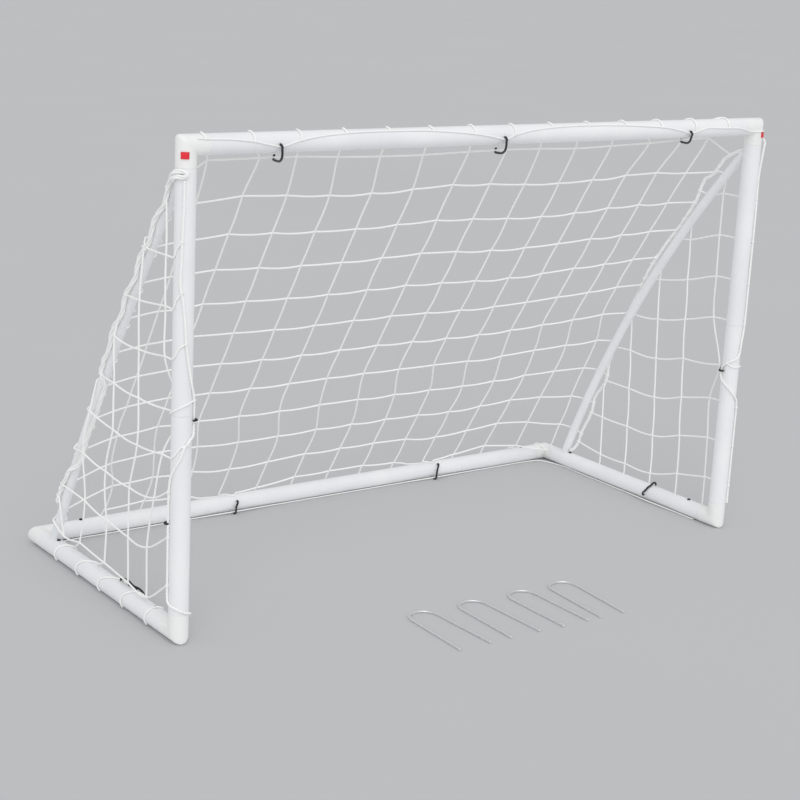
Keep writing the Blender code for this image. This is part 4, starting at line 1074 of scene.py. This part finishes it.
# The right stay's rope from the post down to where it meets the stay again.
RIGHT_TOP = ((-0.1880, 1.1400), (-0.1611, 1.1285), (-0.1470, 1.1212), (-0.1280, 1.1094), (-0.1102, 1.0884),
             (-0.0928, 1.0634), (-0.0761, 1.0499), (-0.0564, 1.0398), (-0.0457, 1.0231), (-0.0378, 1.0007),
             (-0.0278, 0.9744))
RIGHT_TOP_X = 0.917
RIGHT_TOP_JOIN = 0.020
RIGHT_FOOT = ((0.9480, 0.4530, 0.0720), (0.9400, 0.4590, 0.0600), (0.9330, 0.4640, 0.0550))


def bar_place(x, angle, reach):
    turn = radians(angle)
    return Vector((x, FRONT_Y - reach * cos(turn), BAR_Z + reach * sin(turn)))


def rear_place(x, angle, reach):
    turn = radians(angle)
    return Vector((x, BACK_Y - reach * cos(turn), RAIL_Z + reach * sin(turn)))


def rail_place(side, y, angle, reach):
    """A place beside a side rail; the angle runs up from the rail's inner side."""
    turn = radians(angle)
    inward = 1 if side == "left" else -1
    return Vector((POST_X[side] + inward * reach * cos(turn), y, RAIL_Z + reach * sin(turn)))


def post_place(side, z, angle, reach):
    """A place beside a post; the angle runs from its front towards the goal's right."""
    turn = radians(angle)
    return Vector((POST_X[side] + reach * sin(turn), FRONT_Y - reach * cos(turn), z))


def headline():
    line = []
    for x, angle in HEADLINE:
        lift = sum(HOOK_LIFT * exp(-((x - hook[0]) / HOOK_REACH) ** 2) for hook in BAR_HOOKS)
        line.append(bar_place(x, angle, TUBE + THIN_ROPE + CORD_LIE + lift))
    for angle in HEADLINE_END:
        line.append(post_place("right", BAR_Z - HEADLINE_END_DROP, angle, TUBE + THIN_ROPE + CORD_LIE))
    return flow(line, HEADLINE_STEP)


def between(stops, t):
    """A value on a short list of stops, eased from one to the next."""
    if t <= stops[0][0]:
        return stops[0][1]
    for (t1, a), (t2, b) in zip(stops, stops[1:]):
        if t <= t2:
            share = (t - t1) / (t2 - t1)
            share = share * share * (3 - 2 * share)
            return a + (b - a) * share
    return stops[-1][1]


def stay_run(side, t):
    """A stay's heading at a place on it, and the direction up and away from the stay there."""
    run = (stay_place(side, t + 0.01)[0] - stay_place(side, t - 0.01)[0]).normalized()
    return run, Vector((0, -run.z, run.y))


def left_stay_rope():
    line = []
    for k in range(LEFT_ROPE_STEPS + 1):
        t = LEFT_ROPE_FOOT - (LEFT_ROPE_FOOT - LEFT_ROPE_TOP) * k / LEFT_ROPE_STEPS
        heart = stay_place("left", t)[0]
        up = stay_run("left", t)[1]
        gather_up = 0.5 + 0.5 * cos(2 * pi * (t - LEFT_FIRST_GATHER) / LEFT_GATHER_STEP)
        share = 1.0 if t < FULL_TO else SLIGHT
        lean = radians(between(LEFT_LEANS, t) - GATHER_LEAN * share * (gather_up - 0.5))
        away = up * cos(lean) - X * sin(lean)
        line.append(heart + away * (STAY + LEFT_STAY_ROPE + LEFT_ROPE_OFF + GATHER_LIFT * share * gather_up))
    for angle, z in LEFT_TURN:
        line.append(post_place("left", z, angle, TUBE + LEFT_STAY_ROPE + CORD_LIE))
    return flow(line, FINE_STEP)


def rope_line(node):
    """A rope's middle line as it is drawn here."""
    radius, join = ROPES[node]
    if node == "rope_headline":
        return headline()
    if node == "rope_stay_left":
        return left_stay_rope()
    line = chain(node, join)
    if radius == POST_ROPE:
        if line[0].z > line[-1].z:
            line.reverse()
        line = [spot for spot in line if spot.z < POST_ROPE_TOPS[node]]
        line = [onto_tubes(spot, radius) for spot in flow(line, FINE_STEP)]
        if node == "rope_post_right":
            loop = [Vector(spot) for spot in reversed(RIGHT_ROPE_TOP)]
            line = line[:-TAKEN_OVER] + flow([line[-TAKEN_OVER]] + loop, FINE_STEP)[1:]
        return line
    if node == "rope_stay_right":
        if line[0].z < line[-1].z:
            line.reverse()
        top = [Vector((RIGHT_TOP_X, y, z)) for y, z in RIGHT_TOP]
        line = [spot for spot in line if spot.z < top[-1].z - RIGHT_TOP_JOIN]
        return flow(top + line + [Vector(spot) for spot in RIGHT_FOOT], FINE_STEP)
    return flow(line, ROPE_STEP)


drawn = {node: rope_line(node) for node in ROPES}


# A strand's radius and its distance from the rope's middle, as shares of the rope's radius.
STRAND_SHARE = 0.52
LAY_SHARE = 0.50
# A full turn's length in rope radii, on the posts' ropes and on the stays'.
POST_LAY = 8.5
STAY_LAY = 19


def laid_strands(name, line, radius, pitch):
    """Three strands laid round each other along the line."""
    strand = radius * STRAND_SHARE
    lay = radius * LAY_SHARE
    parts = []
    last = len(line) - 1
    headings = [(line[min(i + 1, last)] - line[max(i - 1, 0)]).normalized() for i in range(len(line))]
    side = headings[0].orthogonal().normalized()
    sides = []
    run = [0.0]
    for i, heading in enumerate(headings):
        side = (side - heading * side.dot(heading)).normalized()
        sides.append(side.copy())
        if i:
            run.append(run[-1] + (line[i] - line[i - 1]).length)
    for k in range(3):
        places = []
        for spot, heading, side, far in zip(line, headings, sides, run):
            angle = 2 * pi * (far / pitch + k / 3)
            places.append(spot + (side * cos(angle) + heading.cross(side) * sin(angle)) * lay)
        places, widths = rounded(places, strand)
        parts.append(bend_cord(name, places, strand, STRAND_SIDES, widths))
    return gather(name, parts)


for node, (radius, _) in ROPES.items():
    name = node.replace("rope_", "") + "_rope"
    if radius > THIN_ROPE:
        lay = POST_LAY if radius == POST_ROPE else STAY_LAY
        piece = laid_strands(name, drawn[node], radius, radius * lay)
    else:
        places, widths = rounded(drawn[node], radius)
        piece = bend_cord(name, places, radius, ROPE_SIDES, widths)
    finish(piece, white_rope, "frame", [node])


# Nets.
# A group of more points than this is a knot, and any other is a ring of a cord.
RING_POINTS = 6
NET_JOIN = 0.0055
# How far a cord's end may lie from the rope that it is tied to, and from the middle of the left bundle.
TIE_REACH = 0.009
BUNDLE_REACH = 0.016
TURN_SLANT = (0.25, 0.33)
# A cord that ends this near the left stay is taken round it, unless it is at the stay's foot.
STAY_REACH = 0.040
STAY_END = 0.985
STAY_TRIES = 200
ROUND_STEP = 36
ROUND_CREEP = 0.00002
# A stop before the bar is dropped if it is less than this over its tie and less than this beside it, and if
# the tie is less than this below the bar's middle line.
HEADLINE_ROOM = 0.004
BESIDE_REACH = 0.05
BAR_REACH = 0.03
# Stretches between knots that are longer than this and lower than this hang by a share and stray a little.
SHORT_STRETCH = 0.06
TAUT_OVER = 1.15
SAG = 0.020
STRAY = 0.0020
KNOT_SEAT = 1.4


def nearest_rope(spot, reach):
    """The rope beside a cord's end: its place, heading and radius as it is drawn here."""
    best = None
    for node, line in rope_lines.items():
        for place in line:
            gap = (place - spot).length - ROPES[node][0]
            if gap < reach and (best is None or gap < best[0]):
                best = (gap, node)
    if best is None:
        return None
    line = drawn[best[1]]
    i = min(range(1, len(line) - 1), key=lambda k: (line[k] - spot).length)
    return line[i], (line[i + 1] - line[i - 1]).normalized(), ROPES[best[1]][0]


knot = small_knot()
turns = {radius: rope_turn(radius) for radius in (THIN_ROPE, POST_ROPE, LEFT_STAY_ROPE, RIGHT_STAY_ROPE)}
net_places = []


def round_left_stay(stops):
    """Takes a cord that ends beside the left stay on round its far side."""
    end = stops[-1][1]
    tries = (k / STAY_TRIES for k in range(STAY_TRIES + 1))
    t = min(tries, key=lambda k: (stay_place("left", k)[0] - end).length)
    heart = stay_place("left", t)[0]
    if (heart - end).length > STAY_REACH or t > STAY_END:
        return
    run, up = stay_run("left", t)
    arm = end - heart
    start = degrees(atan2(-arm.x, arm.dot(up)))
    stops.pop()
    for turn in range(0, 181, ROUND_STEP):
        lean = radians(start - turn)
        side = up * cos(lean) - X * sin(lean)
        stops.append((None, heart + side * (STAY + CORD + CORD_LIE) - run * ROUND_CREEP * turn))


def before_bar(spot, place):
    """Whether a stop lies before the bar and under the headline's place, where the cord doesn't go."""
    under = spot.y < FRONT_Y and spot.z < place.z + HEADLINE_ROOM
    return under and abs(spot.x - place.x) < BESIDE_REACH and place.z > BAR_Z - BAR_REACH


def tie_end(stops, parts):
    """Ends a cord on the rope beside its last stop, with a turn round it."""
    held = nearest_rope(stops[-1][1], TIE_REACH)
    if held is None or (held[2] == LEFT_STAY_ROPE and (held[0] - stops[-1][1]).length > BUNDLE_REACH):
        round_left_stay(stops)
        return
    place, heading, radius = held
    while len(stops) > 2 and before_bar(stops[-2][1], place):
        stops.pop(-2)
    stops[-1] = (stops[-1][0], place.copy())
    slant = Matrix.Rotation(chance.uniform(*TURN_SLANT), 4, 'Z')
    up = Z if abs(heading.z) < 0.8 else X
    parts.append(copy_of(turns[radius], stand(place, heading, up) @ slant))


# The back net's first row of knots under the bar.
FIRST_ROW = (
    (-0.8449, -0.176, 1.1676), (-0.7093, -0.186, 1.1702), (-0.6005, -0.178, 1.1687),
    (-0.4741, -0.166, 1.1624), (-0.3436, -0.162, 1.1588), (-0.2156, -0.168, 1.1595),
    (-0.0792, -0.180, 1.1647), (0.0396, -0.186, 1.1670), (0.1654, -0.172, 1.1641),
    (0.3012, -0.160, 1.1591), (0.4258, -0.166, 1.1632), (0.5506, -0.184, 1.1696),
    (0.6702, -0.190, 1.1762), (0.7925, -0.172, 1.1771),
)
# The left net's two lowest rows of knots.
LOW_ROWS = (
    (-0.943, 0.259, 0.2243), (-0.943, 0.1328, 0.2101), (-0.943, 0.0135, 0.2010),
    (-0.945, -0.0919, 0.2076), (-0.935, 0.4051, 0.0800), (-0.935, 0.3058, 0.0917),
    (-0.935, 0.1597, 0.0828), (-0.935, 0.0270, 0.0734), (-0.935, -0.0729, 0.0675),
)
# Where the lowest row lies across the goal and over the ground, roughly.
LOWEST = (-0.935, 0.08)
# The CAD's cords that end below this height are drawn anew.
RAIL_END = 0.0250
# For each of its lower cords, places along the rail: its knot's, where it passes behind the rail, and where
# it comes up on the rail's outer side.
BEHIND_RAIL = ((0.3058, 0.3994, 0.4246), (0.1597, 0.2519, 0.2947), (0.0270, 0.1056, 0.1646),
               (-0.0729, 0.0031, 0.0347), (None, -0.1050, -0.0954))


def move_knots(spots, sizes, places):
    """Moves the knot nearest to each place on to that place."""
    knots = [key for key in spots if sizes[key] > RING_POINTS]
    found = [min(knots, key=lambda key: (spots[key] - Vector(place)).length) for place in places]
    for place, key in zip(places, found):
        spots[key] = Vector(place)


def round_the_rail(spots, sizes, links):
    """Takes the left net's cords down behind its rail and up round the outer side."""
    move_knots(spots, sizes, LOW_ROWS)
    low_ends = [key for key in spots if spots[key].z < RAIL_END and sizes[key] <= RING_POINTS]
    for key in low_ends:
        for other in links[key]:
            links[other].discard(key)
    for key in low_ends:
        del spots[key], sizes[key], links[key]

    def beside_rail(y, angle):
        return rail_place("left", y, angle, TUBE + CORD)

    cords = []
    for knot_y, behind_y, outer_y in BEHIND_RAIL:
        over = beside_rail(behind_y - 0.006, 50)
        if knot_y is not None:
            lowest = Vector((LOWEST[0], knot_y, LOWEST[1]))
            start = min(spots.values(), key=lambda s: (s - lowest).length)
            cords.append([start, over, beside_rail(behind_y, 12), beside_rail(behind_y + 0.003, -30)])
        outer = [beside_rail(outer_y, angle) for angle in (222, 205, 180)]
        halfway = (outer_y + behind_y) / 2 - 0.006
        cords.append(outer + [beside_rail(outer_y - 0.004, 146), beside_rail(halfway, 98), over])
    return cords


def hang(here, there, knotted):
    """How far the middle of a stretch hangs and strays, or None where it is held."""
    span = there - here
    if not knotted or span.length <= SHORT_STRETCH or max(here.z, there.z) >= TAUT_OVER:
        return None
    loose = Vector([chance.uniform(-1, 1) for _ in range(3)]) * STRAY
    level = sqrt(max(0.0, 1 - (span.z / span.length) ** 2))
    return Vector((0, 0, -SAG * span.length * level)) + loose


def far_from_bundle(spot):
    return min((place - spot).length for place in drawn["rope_stay_left"]) > BUNDLE_REACH


def tie_both_ends(name, stops, sizes, parts):
    """Ties a cord's ends to the ropes beside them, or takes them round the left stay."""
    for _ in range(2):
        stops.reverse()
        key, end = stops[-1]
        if key is None:
            continue
        if sizes[key] <= RING_POINTS:
            tie_end(stops, parts)
        elif name == "side_net_left" and far_from_bundle(end):
            round_left_stay(stops)


def twine_knot(spot, near):
    """A knot set to the cords that meet in it."""
    headings = sorted(((other - spot).normalized() for other in near), key=lambda v: (-abs(v.x), -v.y))
    across = headings[0]
    other = min(headings[1:], key=lambda v: abs(v.dot(across)))
    up = across.cross(other)
    if up.length < 0.1:
        up = across.orthogonal()
    return copy_of(knot, stand(onto_tubes(spot, CORD * KNOT_SEAT), across, up))


def net(name, node, corners=()):
    """A net from its CAD's knots and cords; corners are cords of its own: start, target and rope."""
    spots, sizes, links = skeleton(node, NET_JOIN)
    cords = []
    if node == "net_back":
        move_knots(spots, sizes, FIRST_ROW)
    if node == "net_left":
        cords = round_the_rail(spots, sizes, links)
    parts = []
    for line in strands(spots, links):
        stops = [(key, spots[key]) for key in line]
        tie_both_ends(name, stops, sizes, parts)
        sags = []
        for (a, here), (b, there) in zip(stops, stops[1:]):
            knotted = min(sizes.get(a, 0), sizes.get(b, 0)) > RING_POINTS
            sags.append(hang(here, there, knotted))
        places = [onto_tubes(spot, CORD) for spot in flow([spot for _, spot in stops], CORD_STEP, sags)]
        net_places.extend(places)
        parts.append(bend_cord(name, places, CORD, CORD_SIDES))
    for key, spot in spots.items():
        if sizes[key] > RING_POINTS and len(links[key]) > 1:
            parts.append(twine_knot(spot, [spots[n] for n in links[key]]))
    for start, target, rope in corners:
        end = min(drawn[rope], key=lambda s: (s - Vector(target)).length)
        cords.append([Vector(start), (Vector(start) + end) / 2 - Z * 0.001, end])
    for stops in cords:
        places = [onto_tubes(spot, CORD) for spot in flow(stops, CORD_STEP)]
        parts.append(bend_cord(name, places, CORD, CORD_SIDES))
    piece = gather(name, parts)
    return finish(piece, net_twine, "frame", [node])


net("rear_net", "net_back", ((FIRST_ROW[0], (-0.937, -0.165, 1.120), "rope_stay_left"),
                             (FIRST_ROW[-1], (0.917, -0.147, 1.1212), "rope_stay_right")))
net("side_net_left", "net_left")
net("side_net_right", "net_right")
for pattern in [knot, *turns.values()]:
    drop(pattern)

# Hooks.
CURL_ANGLES = (100, 76, 50, 25, 0, -24, -48)
CURL_GAP = 0.0004
# The shank: how many degrees in from each held cord it starts, its steps and its gap to the tube.
SHANK_IN = 25
SHANK_STEP = 16
SHANK_GAP = 0.0008
HOOK_STEP = 0.0022


def curl(centre, out, across, slant, loop):
    """Part of a ring round a held cord, from its tip to where it leaves for the slanting shank."""
    path = []
    for angle in CURL_ANGLES:
        turn = radians(angle)
        path.append(centre + out * loop * cos(turn) + (across + slant) * loop * sin(turn))
    return path


def double_hook(name, node, spot, first, second):
    """A thick wire bent round a tube, with a curl round a held cord at each end.

    Each end is its place along the tube, its angle, the held place (or None) and the held cord's radius.
    """
    heading = 1 if second[1] > first[1] else -1
    travel = spot(second[0], 0, 0) - spot(first[0], 0, 0)
    slant = travel / (radians(abs(second[1] - first[1])) * (TUBE + HOOK))
    ends = []
    for (along, angle, held, cord), away in ((first, -heading), (second, heading)):
        heart = spot(along, angle, 0)
        out = (spot(along, angle, 1) - heart).normalized()
        across = (spot(along, angle + 90 * away, 1) - heart).normalized()
        centre = held or spot(along, angle, TUBE + cord + HOOK_LIFT)
        ends.append(curl(centre, out, across, slant * (1 if away == heading else -1), cord + HOOK + CURL_GAP))
    inner = []
    turn = abs(second[1] - first[1])
    count = max(1, round((turn - 2 * SHANK_IN) / SHANK_STEP))
    least = TUBE + HOOK + SHANK_GAP
    reaches = []
    for along, angle, held, cord in (first, second):
        reaches.append(max(least, (held - spot(along, angle, 0)).length) if held else least)
    for k in range(count + 1):
        angle = first[1] + heading * (SHANK_IN + (turn - 2 * SHANK_IN) * k / count)
        share = (angle - first[1]) / (second[1] - first[1])
        reach = reaches[0] + (reaches[1] - reaches[0]) * share
        inner.append(spot(first[0] + (second[0] - first[0]) * share, angle, reach))
    places, widths = rounded(flow(ends[0] + inner + ends[1][::-1], HOOK_STEP), HOOK)
    piece = bend_cord(name, places, HOOK, HOOK_SIDES, widths)
    finish(piece, hook_black, "frame", [node])


def nearest(places, spot):
    return min(places, key=lambda place: (place - spot).length)


def beside(place_of, side):
    """A way of placing on one side's rail or post."""
    return lambda along, angle, reach: place_of(side, along, angle, reach)


for k, (rope_x, net_x) in enumerate(BAR_HOOKS):
    on_rope = nearest(drawn["rope_headline"], bar_place(rope_x, -16, TUBE + THIN_ROPE + HOOK_LIFT))
    on_net = nearest(net_places, Vector((net_x, FRONT_Y + 0.017, BAR_Z - 0.035)))
    rope_angle = degrees(atan2(on_rope.z - BAR_Z, FRONT_Y - on_rope.y))
    net_angle = degrees(atan2(on_net.z - BAR_Z, FRONT_Y - on_net.y))
    double_hook("hook_bar_%d" % (k + 1), "net_clip_bar_%d" % (k + 1), bar_place,
                (on_rope.x, rope_angle, on_rope, THIN_ROPE), (on_net.x, net_angle, on_net, CORD))

# The back rail's hooks: a place and an angle on top, and a place below on the base rope.
BACK_HOOKS = ((-0.303, 14, -0.309), (0.450, 35, 0.437))
for k, (top_x, top_angle, low_x) in enumerate(BACK_HOOKS):
    held = nearest(drawn["rope_base"], rear_place(low_x, -35, TUBE + 0.012))
    low_angle = degrees(atan2(held.z - RAIL_Z, BACK_Y - held.y))
    double_hook("hook_back_%d" % (k + 1), "net_clip_back_%d" % (k + 1), rear_place,
                (top_x, top_angle, None, CORD), (held.x, low_angle, held, THIN_ROPE))

# The side rails' hooks: a place and an angle for each end.
SIDE_HOOKS = {"left": (0.084, 62, 0.034, 30), "right": (0.053, 92, 0.064, 4)}
for side, (first_y, first_angle, second_y, second_angle) in SIDE_HOOKS.items():
    double_hook("hook_side_" + side, "net_clip_side_" + side, beside(rail_place, side),
                (first_y, first_angle, None, CORD), (second_y, second_angle, None, CORD))

# The posts' hooks: height, the rope's angle and the far end's angle.
POST_HOOKS = (("post_left_high", "left", 0.563, 72, 138), ("post_left_low", "left", 0.306, -124, -172),
              ("post_right", "right", 0.491, -104, -168))
for name, side, z, rope_angle, far_angle in POST_HOOKS:
    held = post_place(side, z, rope_angle, TUBE + POST_ROPE + 0.0015)
    double_hook("hook_" + name, "net_clip_" + name, beside(post_place, side),
                (z, rope_angle, held, POST_ROPE), (z, far_angle, None, CORD))

# Pegs.
for k in range(1, 5):
    node = "peg_%d" % k
    places, widths = rounded(flow(chain(node, PEG_JOIN), ROPE_STEP), PEG * PEG_TIP)
    piece = bend_cord("ground_" + node, places, PEG, PEG_SIDES, widths)
    finish(piece, peg_zinc, "ground_" + node, [node])

# What is left of the CAD shows its own shape in a finished material.
for name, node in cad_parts.items():
    if not node.hide_render:
        node.data.materials.clear()
        node.data.materials.append(stay_white)
